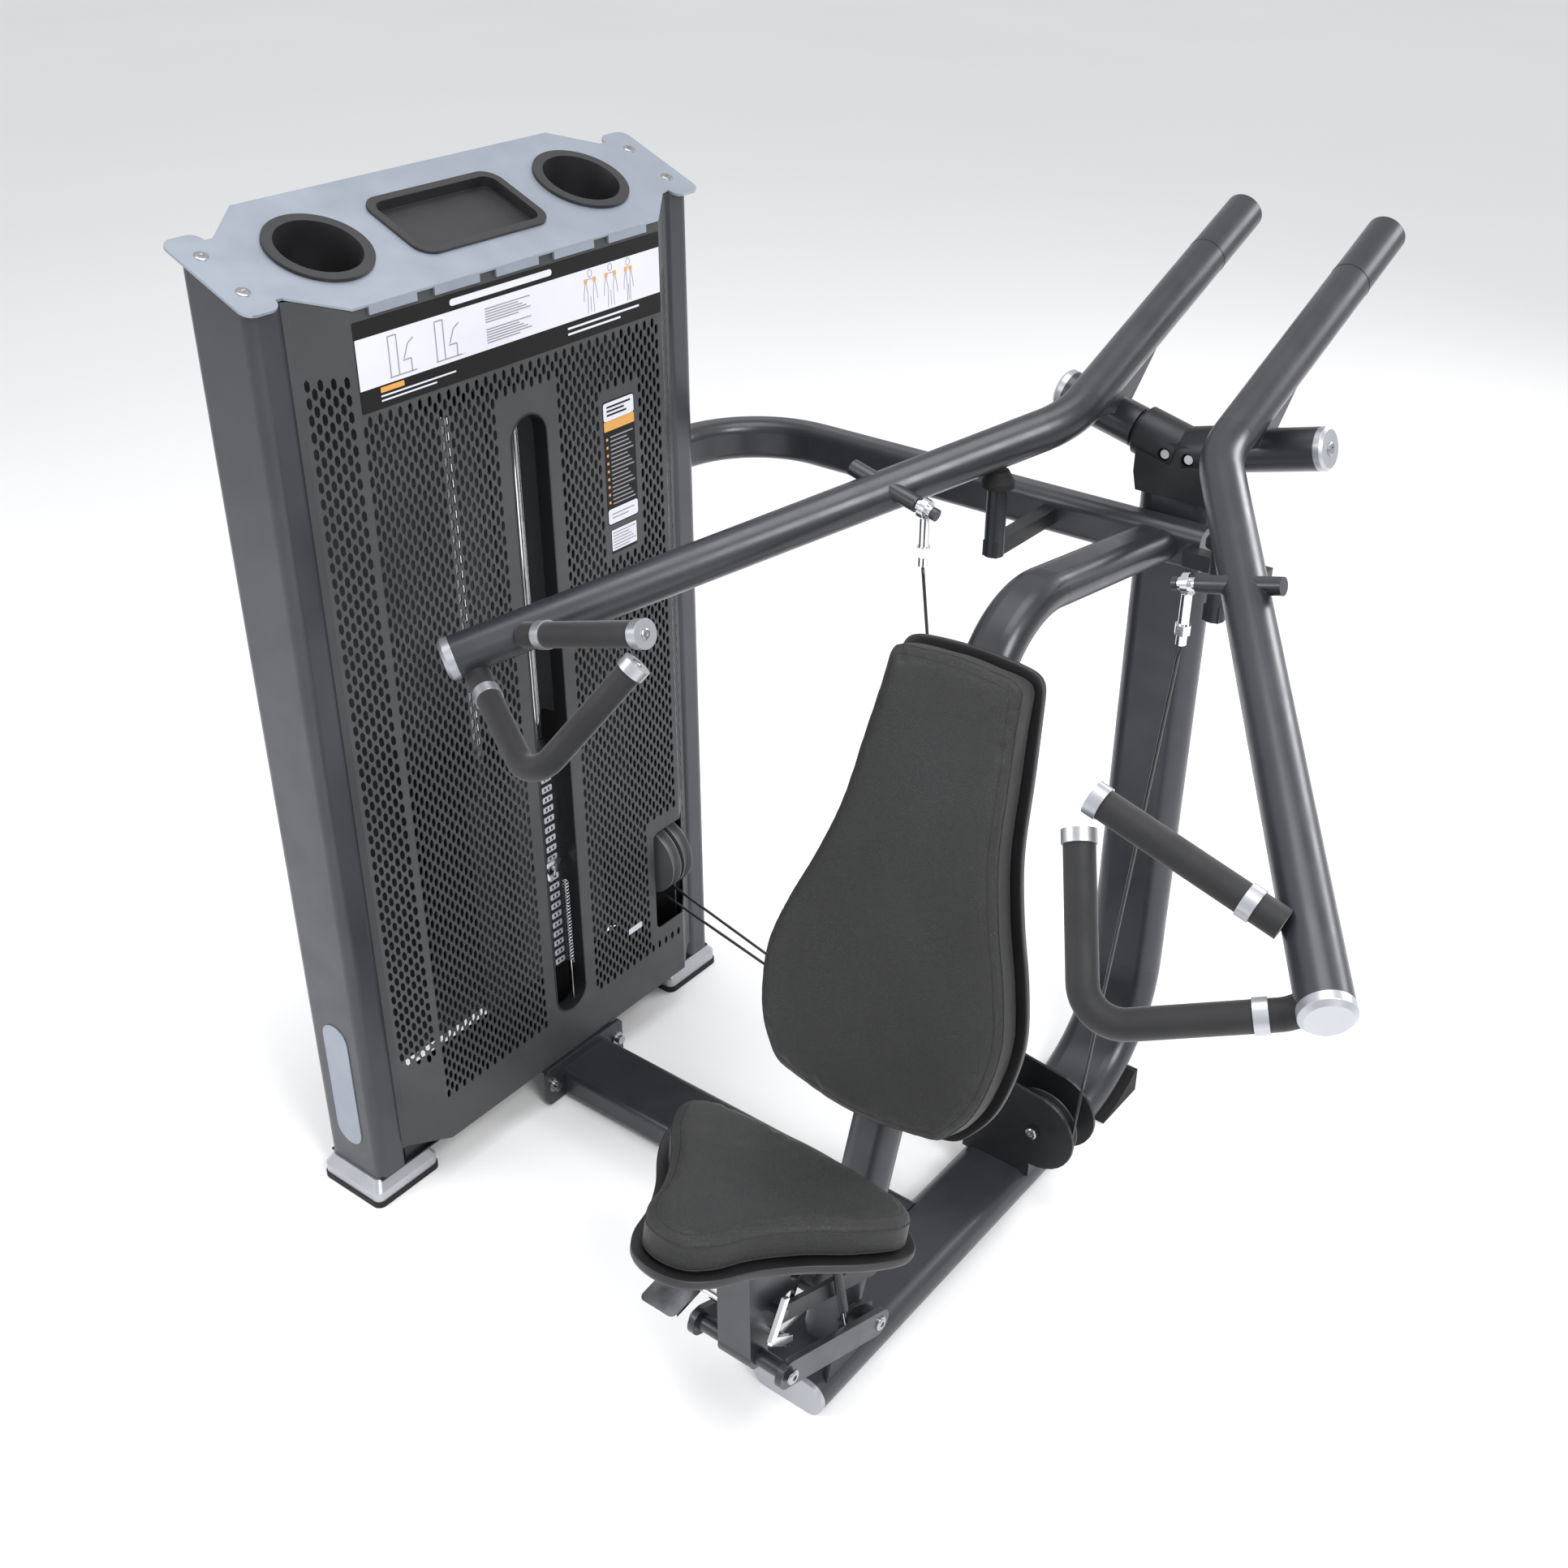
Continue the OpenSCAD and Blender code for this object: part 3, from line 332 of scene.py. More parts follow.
def tube(points, radius, sides=12, closed=False):
    """Vertices and faces of a round tube along a line of points."""
    pts = [Vector(p) for p in points]
    n = len(pts)
    verts, faces = [], []
    normal = None
    for i, p in enumerate(pts):
        before = pts[i - 1] if (i or closed) else p
        after = pts[(i + 1) % n] if (i < n - 1 or closed) else p
        t = (after - before).normalized()
        if normal is None:
            normal = t.orthogonal().normalized()
        normal = (normal - t * normal.dot(t)).normalized()
        other = t.cross(normal)
        for k in range(sides):
            a = 2 * math.pi * k / sides
            verts.append(p + (normal * math.cos(a) + other * math.sin(a)) * radius)
    for i in range(n if closed else n - 1):
        j = (i + 1) % n
        for k in range(sides):
            m = (k + 1) % sides
            faces.append((i * sides + k, i * sides + m, j * sides + m, j * sides + k))
    if not closed:
        faces.append(tuple(range(sides - 1, -1, -1)))
        faces.append(tuple(range((n - 1) * sides, n * sides)))
    return verts, faces


class Builder:
    """Gathers several simple solids into one mesh."""

    def __init__(self):
        self.verts, self.faces = [], []

    def add(self, verts, faces):
        base = len(self.verts)
        self.verts += [Vector(v) for v in verts]
        self.faces += [tuple(base + i for i in f) for f in faces]

    def prism(self, outline, place, lift):
        """Outline in local XY, raised by lift; place is a matrix."""
        n = len(outline)
        lower = [place @ Vector((x, y, 0)) for x, y in outline]
        upper = [place @ Vector((x, y, lift)) for x, y in outline]
        walls = [(i, (i + 1) % n, n + (i + 1) % n, n + i) for i in range(n)]
        self.add(lower + upper, walls + [tuple(range(n - 1, -1, -1)), tuple(range(n, 2 * n))])

    def screw(self, place, r, h=0.003):
        """Button head with a six-sided socket; local Z points outwards."""
        sides = 24
        turn = [2 * math.pi * k / sides for k in range(sides)]
        verts, faces = [], []
        for radius, height in ((r, 0), (r * 0.97, h * 0.55), (r * 0.78, h * 0.92), (r * 0.5, h)):
            verts += [place @ Vector((radius * math.cos(a), radius * math.sin(a), height)) for a in turn]
        socket, floor_height = r * 0.42, h * 0.35
        for height in (h, floor_height):
            for a in turn:
                wall = socket * (math.cos(math.pi / 6) / math.cos((a % (math.pi / 3)) - math.pi / 6))
                verts.append(place @ Vector((wall * math.cos(a), wall * math.sin(a), height)))
        last = len(verts) // sides - 1
        for i in range(last):
            for k in range(sides):
                m = (k + 1) % sides
                faces.append((i * sides + k, i * sides + m, (i + 1) * sides + m, (i + 1) * sides + k))
        faces.append(tuple(last * sides + k for k in range(sides)))
        faces.append(tuple(range(sides - 1, -1, -1)))
        self.add(verts, faces)

    def build(self, name, look, body, slot, smooth=False, blend=None):
        return add_mesh(name, self.verts, self.faces, look, body, slot, smooth, blend)


def facing(point, normal, spin=0.0):
    """Matrix at a point with local Z along the normal."""
    turn = Vector(normal).normalized().to_track_quat("Z", "Y").to_matrix().to_4x4()
    return Matrix.Translation(point) @ turn @ Matrix.Rotation(spin, 4, "Z")


def rounded_rect(w, h, r, n=5):
    """Outline of a rectangle with round corners, centred on zero."""
    out = []
    for cx, cy, a0 in ((w / 2 - r, h / 2 - r, 0), (r - w / 2, h / 2 - r, 90), (r - w / 2, r - h / 2, 180),
                       (w / 2 - r, r - h / 2, 270)):
        for k in range(n + 1):
            a = math.radians(a0 + 90 * k / n)
            out.append((cx + r * math.cos(a), cy + r * math.sin(a)))
    return out


# ---------------------------------------------------------------- perforated panels
TOWER_X, TOWER_Y = -0.815, -0.300
FACE, HALF, EDGE, EDGE_IN = 0.105, 0.290, 0.350, 0.061
PANEL_Z = (0.080, 1.434)
TOP_TILT = math.radians(23)
TUCK = (0.002, 0.012)        # how far a panel's edge goes in behind the column's round corner
COLS_FLAT, COLS_DIAG, HALF_ROWS = 68, 9, 120
FLAT_ROWS, DIAG_ROWS = (7, 108), (14, 113)       # half rows that have holes, on the face and on the bevels
HOLE_FLAT, HOLE_TIP, HOLE_SHARE = 0.0046, 0.0086, 0.39
SHEET = 0.0022
ROW = (PANEL_Z[1] - PANEL_Z[0]) / HALF_ROWS


def hole_shape(cu, cz, w):
    """Long six-sided slot with eight corners, starting at +u and going round."""
    b, tip = HOLE_FLAT, HOLE_TIP
    return [(cu + w, cz), (cu + w, cz + b), (cu, cz + tip), (cu - w, cz + b), (cu - w, cz), (cu - w, cz - b),
            (cu, cz - tip), (cu + w, cz - b)]


def perforated_panel(name, node, cuts, plain):
    """One bent panel.

    cuts are (columns, rows, outline) blocks with an opening; plain are blocks left whole.
    """
    diag = math.hypot(FACE - EDGE_IN, EDGE - HALF)
    cols = [diag * k / COLS_DIAG for k in range(COLS_DIAG)]
    cols += [diag + 2 * HALF * k / COLS_FLAT for k in range(COLS_FLAT)]
    cols += [diag + 2 * HALF + diag * k / COLS_DIAG for k in range(COLS_DIAG + 1)]
    n_cols = len(cols) - 1
    index, verts, faces = {}, [], []

    def vert(u, z):
        key = (round(u * 1e6), round(z * 1e6))
        if key not in index:
            index[key] = len(verts)
            verts.append((u, z))
        return index[key]

    def height(k):
        return PANEL_Z[0] + k * ROW

    def blocked(i, k):
        return any(c[0] <= i < c[1] and r[0] <= k < r[1] for c, r, _ in cuts)

    def open_zone(i, k):
        if any(c[0] <= i < c[1] and r[0] <= k < r[1] for c, r in plain):
            return False
        flat = COLS_DIAG <= i < COLS_DIAG + COLS_FLAT
        j = i if i < COLS_DIAG else n_cols - 1 - i
        if flat:
            return i < COLS_DIAG + COLS_FLAT - 1 and FLAT_ROWS[0] <= k < FLAT_ROWS[1]
        return 1 <= j < COLS_DIAG - 1 and DIAG_ROWS[0] <= k < DIAG_ROWS[1]

    for i in range(n_cols):
        k = 0
        u0, u1 = cols[i], cols[i + 1]
        um = (u0 + u1) / 2
        while k < HALF_ROWS:
            if blocked(i, k):
                k += 1
                continue
            if k % 2 == i % 2 and k + 1 < HALF_ROWS and open_zone(i, k) and open_zone(i, k + 1) \
                    and not blocked(i, k + 1):
                z0, zm, z1 = height(k), height(k + 1), height(k + 2)
                outer = [(u1, zm), (u1, z1), (um, z1), (u0, z1), (u0, zm), (u0, z0), (um, z0), (u1, z0)]
                inner = hole_shape(um, zm, (u1 - u0) * HOLE_SHARE)
                a, b = [vert(*q) for q in outer], [vert(*q) for q in inner]
                faces += [(a[j], a[(j + 1) % 8], b[(j + 1) % 8], b[j]) for j in range(8)]
                k += 2
            else:
                z0, z1 = height(k), height(k + 1)
                for x0, x1 in ((u0, um), (um, u1)):
                    faces.append((vert(x0, z0), vert(x1, z0), vert(x1, z1), vert(x0, z1)))
                k += 1
    corners = (diag, diag + 2 * HALF)
    for (c0, c1), (r0, r1), outline in cuts:
        across = [q for i in range(c0, c1) for q in (cols[i], (cols[i] + cols[i + 1]) / 2)]
        line = [(u, height(r0)) for u in across]
        line += [(cols[c1], height(k)) for k in range(r0, r1)]
        line += [(q, height(r1)) for q in [cols[c1]] + across[:0:-1]]
        line += [(cols[c0], height(k)) for k in range(r1, r0, -1)]
        points = [Vector(q) for q in line]
        edges = [(j, (j + 1) % len(line)) for j in range(len(line))]
        base = len(points)
        points += [Vector(q) for q in outline]
        edges += [(base + j, base + (j + 1) % len(outline)) for j in range(len(outline))]
        zs = [q[1] for q in outline]
        for c in corners:
            if cols[c0] < c < cols[c1]:
                for za, zb in ((height(r0), min(zs)), (max(zs), height(r1))):
                    points += [Vector((c, za)), Vector((c, zb))]
                    edges.append((len(points) - 2, len(points) - 1))
        out, _, tris, *_ = delaunay_2d_cdt(points, edges, [], 0, 1e-7)

        def inside(q):
            hit = False
            for j in range(len(outline)):
                (xa, ya), (xb, yb) = outline[j], outline[j - 1]
                if (ya > q[1]) != (yb > q[1]) and q[0] < (xb - xa) * (q[1] - ya) / (yb - ya) + xa:
                    hit = not hit
            return hit

        for f in tris:
            centre = sum((out[j] for j in f), Vector((0, 0))) / len(f)
            if not inside(centre):
                faces.append(tuple(vert(*out[j]) for j in f))

    def place(u, z):
        if u < diag:
            t = u / diag
            x, y = EDGE_IN + (FACE - EDGE_IN) * t, -EDGE + (EDGE - HALF) * t
        elif u <= diag + 2 * HALF:
            x, y = FACE, -HALF + (u - diag)
        else:
            t = (u - diag - 2 * HALF) / diag
            x, y = FACE - (FACE - EDGE_IN) * t, HALF + (EDGE - HALF) * t
        if z == PANEL_Z[1]:
            z += (FACE - x) * math.tan(TOP_TILT)
        if u in (0, cols[-1]):
            x, y = x - TUCK[0], y + math.copysign(TUCK[1], y)
        return (TOWER_X + x, TOWER_Y + y, z)

    obj = add_mesh(name, [place(*v) for v in verts], faces, "panel", "frame", "panel_paint")
    solid = obj.modifiers.new("sheet", "SOLIDIFY")
    solid.thickness = SHEET
    solid.offset = -1
    apply_modifiers(obj)
    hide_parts(node)


def stadium(cy, z0, z1, w, n=14):
    """Upright slot outline with round ends."""
    r = w / 2
    out = []
    for k in range(n + 1):
        a = math.pi * k / n
        out.append((cy + r * math.cos(a), z1 - r + r * math.sin(a)))
    for k in range(n + 1):
        a = math.pi + math.pi * k / n
        out.append((cy + r * math.cos(a), z0 + r + r * math.sin(a)))
    return out


# Stack window and cable outlet, measured along the unfolded panel
DIAG_LEN = math.hypot(FACE - EDGE_IN, EDGE - HALF)
MID_U = DIAG_LEN + HALF
WINDOW_Z, WINDOW_WIDE = (0.165, 1.222), 0.072
OUTLET_START_Y, OUTLET_PAST_FOLD = -0.079, 0.0335
OUTLET_Z, OUTLET_TALL, OUTLET_ROUND = 0.305, 0.200, 0.012
window = stadium(MID_U, *WINDOW_Z, WINDOW_WIDE)
outlet_u = (DIAG_LEN + HALF + (OUTLET_START_Y - TOWER_Y), DIAG_LEN + 2 * HALF + OUTLET_PAST_FOLD)
outlet = [(outlet_u[0] + (outlet_u[1] - outlet_u[0]) / 2 + x, OUTLET_Z + z)
          for x, z in rounded_rect(outlet_u[1] - outlet_u[0], OUTLET_TALL, OUTLET_ROUND)]

# Blocks of columns and half rows given over to the window, the outlet and the plain field of the notices
middle_col = COLS_DIAG + COLS_FLAT // 2
window_block = ((middle_col - 7, middle_col + 7), (6, 104), window)
outlet_block = ((COLS_DIAG + 58, COLS_DIAG + COLS_FLAT + 6), (9, 31), outlet)
plain_block = ((COLS_DIAG + 51, COLS_DIAG + 61), (77, 100))
perforated_panel("perforated_panel_inner", "panel_inner", [window_block, outlet_block], [plain_block])

# Lip round the stack window
lip = Builder()
LIP_OUT, LIP_IN = 0.0005, 0.002      # how far the lip stands outside and inside the window's edge
ring_out = stadium(TOWER_Y, WINDOW_Z[0] - LIP_OUT, WINDOW_Z[1] + LIP_OUT, WINDOW_WIDE + 2 * LIP_OUT, 20)
ring_in = stadium(TOWER_Y, WINDOW_Z[0] + LIP_IN, WINDOW_Z[1] - LIP_IN, WINDOW_WIDE - 2 * LIP_IN, 20)
n = len(ring_out)
depth = (TOWER_X + FACE + 0.0006, TOWER_X + FACE - 0.026)
verts = [(x, y, z) for ring in (ring_out, ring_in) for x in depth for y, z in ring]
faces = []
for k in range(n):
    m = (k + 1) % n
    faces += [(k, m, n + m, n + k), (2 * n + m, 2 * n + k, 3 * n + k, 3 * n + m),
              (k, 2 * n + k, 2 * n + m, m), (n + m, 3 * n + m, 3 * n + k, n + k)]
lip.add(verts, faces)
lip.build("window_lip", "dark", "frame", "dark_steel")

# Folded edges that close the outer panel against the columns' round corners
FOLD_TALL, FOLD_THICK, FOLD_GAP = 1.420, 0.002, 0.0005
fold = Builder()
for s in (-1, 1):
    start = (TOWER_X - EDGE_IN, TOWER_Y + s * (EDGE + FOLD_GAP))
    end = (TOWER_X - EDGE_IN + TUCK[0], TOWER_Y + s * (EDGE + TUCK[1]))
    outline = [start, end, (end[0] + FOLD_THICK, end[1]), (start[0] + FOLD_THICK, start[1])]
    if s > 0:
        outline.reverse()
    fold.prism(outline, Matrix.Translation((0, 0, PANEL_Z[0])), FOLD_TALL)
fold.build("outer_panel_folds", "panel", "frame", "panel_paint")


# ---------------------------------------------------------------- cushions and their shells
PAD, SHELL, GAP = 0.048, 0.016, 0.0004
INSET = 0.017                # sewn line on a cushion's face, in from its edge
BACK = Matrix.Translation((0, -0.300, 0.975)) @ Matrix.Rotation(math.radians(90 - 18.9), 4, "X")
SEAT = Matrix.Translation((0, -0.700, 0.480)) @ Matrix.Rotation(math.radians(-14.2), 4, "X")
VOXEL, FRAMES = 0.0045, 20
MOST_SWELL = 0.006           # how far the filling may push the cover out
CROWN = 0.003
THREAD_SEAM, THREAD_HEM, THREAD_FACE = 0.0009, 0.0011, 0.0008

# Right-hand halves of the cushions' outlines, in millimetres
BACK_HALF = [(100, 78), (116, -45), (128, -150), (151, -235), (178, -310), (196, -380), (194, -440),
             (178, -500), (140, -553)]
SEAT_HALF = [(150, 140), (186, 112), (188, 84), (160, 32), (116, -22), (80, -80), (62, -128), (38, -162)]


def through(points, n):
    """Smooth curve through the points."""
    out = []
    last = len(points) - 1
    for i in range(last):
        a, b, c, d = (np.array(points[min(max(i + o, 0), last)], float) for o in (-1, 0, 1, 2))
        for k in range(n):
            t = k / n
            out.append(0.5 * (2 * b + (c - a) * t + (2 * a - 5 * b + 4 * c - d) * t * t
                              + (3 * b - a - 3 * c + d) * t ** 3))
    out.append(np.array(points[-1], float))
    return out


def closed_outline(half, top, bottom, spacing=0.006):
    """Whole outline in metres from one side, smoothed and evenly spaced."""
    right = [np.array(top, float)] + through(half, 8) + [np.array(bottom, float)]
    whole = right + [np.array((-q[0], q[1])) for q in right[::-1] if q[0] > 1e-6]
    pts = np.array(whole) / 1000
    for _ in range(3):
        nxt = np.roll(pts, -1, axis=0)
        pts = np.stack([pts * 0.75 + nxt * 0.25, pts * 0.25 + nxt * 0.75], axis=1).reshape(-1, 2)
    length = np.linalg.norm(np.roll(pts, -1, axis=0) - pts, axis=1)
    along = np.concatenate([[0], np.cumsum(length)])
    ring = np.vstack([pts, pts[:1]])
    count = int(along[-1] / spacing)
    at = np.linspace(0, along[-1], count, endpoint=False)
    pts = np.stack([np.interp(at, along, ring[:, 0]), np.interp(at, along, ring[:, 1])], axis=1)
    for _ in range(6):
        pts = (np.roll(pts, 1, axis=0) + 2 * pts + np.roll(pts, -1, axis=0)) / 4
    return pts


def grown(pts, by):
    """Closed outline moved outwards by a distance."""
    t = np.roll(pts, -1, axis=0) - np.roll(pts, 1, axis=0)
    t /= np.linalg.norm(t, axis=1)[:, None]
    normal = np.stack([t[:, 1], -t[:, 0]], axis=1)
    area = np.sum(pts[:, 0] * np.roll(pts[:, 1], -1) - np.roll(pts[:, 0], -1) * pts[:, 1])
    return pts + normal * by * (1 if area > 0 else -1)


def lofted(rings):
    """Closed solid through rings of equal length, each a list of (x, y, z)."""
    n = len(rings[0])
    verts = [p for r in rings for p in r]
    faces = [(i * n + k, i * n + (k + 1) % n, (i + 1) * n + (k + 1) % n, (i + 1) * n + k)
             for i in range(len(rings) - 1) for k in range(n)]
    faces.append(tuple(range(n - 1, -1, -1)))
    faces.append(tuple(range((len(rings) - 1) * n, len(rings) * n)))
    return verts, faces


def ring_at(pts, z):
    """Flat outline lifted to a height."""
    return [(x, y, z) for x, y in pts]


def cushion(name, outline, place, body, node):
    """Padded cover: an undersized block is blown up a little as cloth, then gets its seams."""
    small = grown(outline, -0.001)
    rings = [ring_at(grown(small, -0.004), -PAD + 0.001), ring_at(small, -PAD + 0.005),
             ring_at(small, -0.0085), ring_at(grown(small, -0.0016), -0.0058),
             ring_at(grown(small, -0.005), -0.0042)]
    verts, faces = lofted(rings)
    mesh = bpy.data.meshes.new(name)
    mesh.from_pydata(verts, [], faces)
    obj = bpy.data.objects.new(name, mesh)
    scene.collection.objects.link(obj)
    size = obj.modifiers.new("remesh", "REMESH")
    size.mode = "VOXEL"
    size.voxel_size = VOXEL
    apply_modifiers(obj)
    rest = np.array([v.co[:] for v in obj.data.vertices])
    cloth = obj.modifiers.new("fill", "CLOTH")
    s = cloth.settings
    s.use_pressure = True
    s.uniform_pressure_force = 4
    s.effector_weights.gravity = 0
    s.quality = 5
    s.mass = 0.3
    s.tension_stiffness = 18
    s.compression_stiffness = 18
    s.bending_stiffness = 4
    cloth.collision_settings.use_collision = False
    cloth.point_cache.frame_start = 1
    cloth.point_cache.frame_end = FRAMES
    for f in range(1, FRAMES + 1):
        scene.frame_set(f)
    apply_modifiers(obj)
    scene.frame_set(1)
    now = np.array([v.co[:] for v in obj.data.vertices])
    move = now - rest
    length = np.linalg.norm(move, axis=1)
    move *= np.minimum(1, MOST_SWELL / np.maximum(length, 1e-9))[:, None]
    final = rest + move
    # The middle stands a little proud of the edge, and the back lies flat on its shell
    half = np.abs(outline[:, 0]).max()
    long_mid = (outline[:, 1].max() + outline[:, 1].min()) / 2
    long_half = (outline[:, 1].max() - outline[:, 1].min()) / 2
    bulge = np.clip(1 - (final[:, 0] / half) ** 2, 0, 1)
    bulge = bulge * np.clip(1 - ((final[:, 1] - long_mid) / long_half) ** 4, 0, 1)
    front = np.clip((final[:, 2] + PAD * 0.5) / (PAD * 0.5), 0, 1)
    final[:, 2] += bulge * front * CROWN
    final[:, 2] = np.maximum(final[:, 2], -PAD)
    obj.data.vertices.foreach_set("co", final.astype(np.float32).ravel())
    obj.data.update()
    smooth = obj.modifiers.new("smooth", "SMOOTH")
    smooth.factor = 0.5
    smooth.iterations = 1
    fine = obj.modifiers.new("fine", "SUBSURF")
    fine.levels = fine.render_levels = 1
    apply_modifiers(obj)
    seams(name, obj, outline, place, body)
    obj.matrix_world = place
    finish_piece(obj, "leather", body, smooth=True)
    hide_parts(node)


def seams(name, obj, outline, place, body):
    """Sewn lines at the top and foot of the side and on the face, laid on the cover's own surface."""
    tree = BVHTree.FromPolygons([v.co[:] for v in obj.data.vertices],
                                [p.vertices[:] for p in obj.data.polygons])
    normals = grown(outline, 1.0) - outline
    for tag, depth, radius in (("seam", -0.0105, THREAD_SEAM), ("hem", -PAD + 0.006, THREAD_HEM)):
        line = []
        for (x, y), (nx, ny) in zip(outline, normals):
            start = Vector((x + nx * 0.03, y + ny * 0.03, depth))
            hit, *_ = tree.ray_cast(start, Vector((-nx, -ny, 0)), 0.08)
            if hit is not None:
                line.append(hit)
        verts, faces = tube(line, radius, 6, closed=True)
        add_mesh(f"{name}_{tag}", [place @ Vector(v) for v in verts], faces, "thread", body, "upholstery",
                 smooth=True)
    line = []
    for x, y in grown(outline, -INSET):
        hit, *_ = tree.ray_cast(Vector((x, y, 0.05)), Vector((0, 0, -1)), 0.1)
        if hit is not None:
            line.append(hit - Vector((0, 0, 0.0004)))
    verts, faces = tube(line, THREAD_FACE, 6, closed=True)
    add_mesh(f"{name}_face_seam", [place @ Vector(v) for v in verts], faces, "thread", body, "upholstery",
             smooth=True)


def tray_shell(name, outline, place, body, node, grow):
    """Moulded shell behind a cushion, with a rounded lower edge and a rim that holds the cover."""
    low = -PAD - SHELL - GAP
    high = low + SHELL
    profile = ((grow - 0.016, low), (grow - 0.007, low + 0.0006), (grow - 0.0025, low + 0.003),
               (grow, low + 0.008), (grow, high - 0.0012), (grow - 0.0012, high), (grow - 0.005, high),
               (-0.002, high - 0.0015))
    verts, faces = lofted([ring_at(grown(outline, out), z) for out, z in profile])
    obj = add_mesh(name, [place @ Vector(v) for v in verts], faces, "plastic", body, "black_plastic",
                   smooth=True)
    obj.data.set_sharp_from_angle(angle=math.radians(40))
    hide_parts(node)


back_line = closed_outline(BACK_HALF, (0, 86), (0, -578))
seat_line = closed_outline(SEAT_HALF, (0, 154), (0, -174))
cushion("backrest_cushion", back_line, BACK, "frame", "backrest_pad")
cushion("seat_cushion", seat_line, SEAT, "seat", "seat_pad")
tray_shell("backrest_tray", back_line, BACK, "frame", "backrest_shell", 0.006)
tray_shell("seat_tray", seat_line, SEAT, "seat", "seat_shell", 0.008)


# ---------------------------------------------------------------- cables
SHEAVE_WRAP, BASE_WRAP, TOP_WRAP = 0.0605, 0.0575, 0.0375
TOWER_SHEAVE = (-0.748, 0.331)
TOP_NEAR, TOP_FAR, TOP_Z = -0.0725, -0.2625, 1.290
TOP_X, TOP_PITCH = -0.8085, 0.0115
CABLE_START, SPAN_Z, STACK_TOP = 1.040, 0.262, 0.605
PIN_X, PIN_Y = 0.200, -0.050
CABLE_R = 0.0025
DROP_Z = TOP_Z - 0.03
WHEEL_RIGHT, WHEEL_LEFT = (0.065, 0.150), (-0.170, 0.180)      # base sheaves' centres, x and z


def tangent(c1, r1, c2, r2):
    """Point and direction of the line that touches two circles on the same side."""
    c1, c2 = np.array(c1), np.array(c2)
    gap = np.linalg.norm(c2 - c1)
    u = (c2 - c1) / gap
    v = -np.array((u[1], -u[0]))
    a = (r1 - r2) / gap
    n = a * u + math.sqrt(1 - a * a) * v
    return c1 + r1 * n, np.array((-n[1], n[0]))


def meet(l1, l2):
    """Where two lines cross."""
    d = l2[0] - l1[0]
    t = (d[0] * l2[1][1] - d[1] * l2[1][0]) / (l1[1][0] * l2[1][1] - l1[1][1] * l2[1][0])
    return l1[0] + l1[1] * t


def cable(tag, side, wheel, y, top_x):
    """One cable: the run round the sheaves, the drop to the stack and the hanging span."""
    start = Vector((side * PIN_X, PIN_Y, CABLE_START))
    along = tangent(wheel, BASE_WRAP, TOWER_SHEAVE, SHEAVE_WRAP)
    b = meet(tangent((start.x, start.z), 0, wheel, BASE_WRAP), along)
    c = meet(along, (np.array((TOWER_SHEAVE[0] - SHEAVE_WRAP, 0)), np.array((0, 1))))
    corner = Vector((b[0], y, b[1]))
    split = start.lerp(corner, (start.z - SPAN_Z) / (start.z - corner.z))
    far = TOP_FAR - TOP_WRAP
    top = TOP_Z + TOP_WRAP
    turns = [split, corner, (c[0], y, c[1]), (top_x, TOP_NEAR + TOP_WRAP, top), (top_x, far, top),
             (top_x, far, DROP_Z)]
    route = rounded_path(turns, [0, BASE_WRAP, SHEAVE_WRAP, TOP_WRAP, TOP_WRAP, 0])
    piece = add_mesh(f"cable_run_{tag}", *tube(route, CABLE_R, 12), "cable", "frame", "cable_sheath",
                     smooth=True)
    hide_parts(f"cable_{tag}")
    drop = split_long([Vector((top_x, far, DROP_Z)), Vector((top_x, far, STACK_TOP + 0.049))], 0.03)
    piece = add_mesh(f"cable_drop_{tag}", *tube(drop, CABLE_R, 12), "cable", None, "cable_sheath",
                     smooth=True, blend=("frame", "lifted_stack", drop[0], drop[-1]))
    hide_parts("cable_drops")
    span = split_long([split, start], 0.02)
    piece = add_mesh(f"cable_span_{tag}_skin", *tube(span, CABLE_R, 12), "cable", None, "cable_sheath",
                     smooth=True, blend=(f"cable_foot_{tag}", f"rod_end_{tag}", split, start))
    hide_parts(f"cable_span_{tag}")


cable("right", 1, WHEEL_RIGHT, -0.050, TOP_X - TOP_PITCH)
cable("left", -1, WHEEL_LEFT, -0.020, TOP_X + TOP_PITCH)


# ---------------------------------------------------------------- labels, all without words
LABEL_X = TOWER_X + FACE
SIDE_ON = Matrix(((0, 0, 1, 0), (1, 0, 0, 0), (0, 1, 0, 0), (0, 0, 0, 1)))     # local Z along +X
DRAWN, DRAWING_LINE, FIGURE_LINE = 0.0011, 0.0016, 0.0009      # height of the drawings, and their strokes


def card(builder, y, z, w, h, lift, r=0.001, thick=0.0002):
    """Thin card on the inner panel, centred on (y, z)."""
    place = Matrix.Translation((LABEL_X + lift, y, z)) @ SIDE_ON
    builder.prism(rounded_rect(w, h, min(r, w / 2.1, h / 2.1), 3), place, thick)


plac_lo, plac_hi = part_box("placard")
mid_y = (plac_lo[1] + plac_hi[1]) / 2
mid_z = (plac_lo[2] + plac_hi[2]) / 2
wide, tall = plac_hi[1] - plac_lo[1], plac_hi[2] - plac_lo[2]
black, pale, grey, amber = Builder(), Builder(), Builder(), Builder()
card(black, mid_y, mid_z, wide, tall, 0.0, 0.002, 0.0008)
STRIP_LOW, STRIP_TOP = 0.030, 0.022
pale_z = (plac_lo[2] + STRIP_LOW + plac_hi[2] - STRIP_TOP) / 2
card(pale, mid_y, pale_z, wide - 0.001, tall - STRIP_LOW - STRIP_TOP, 0.0008, 0.0006)


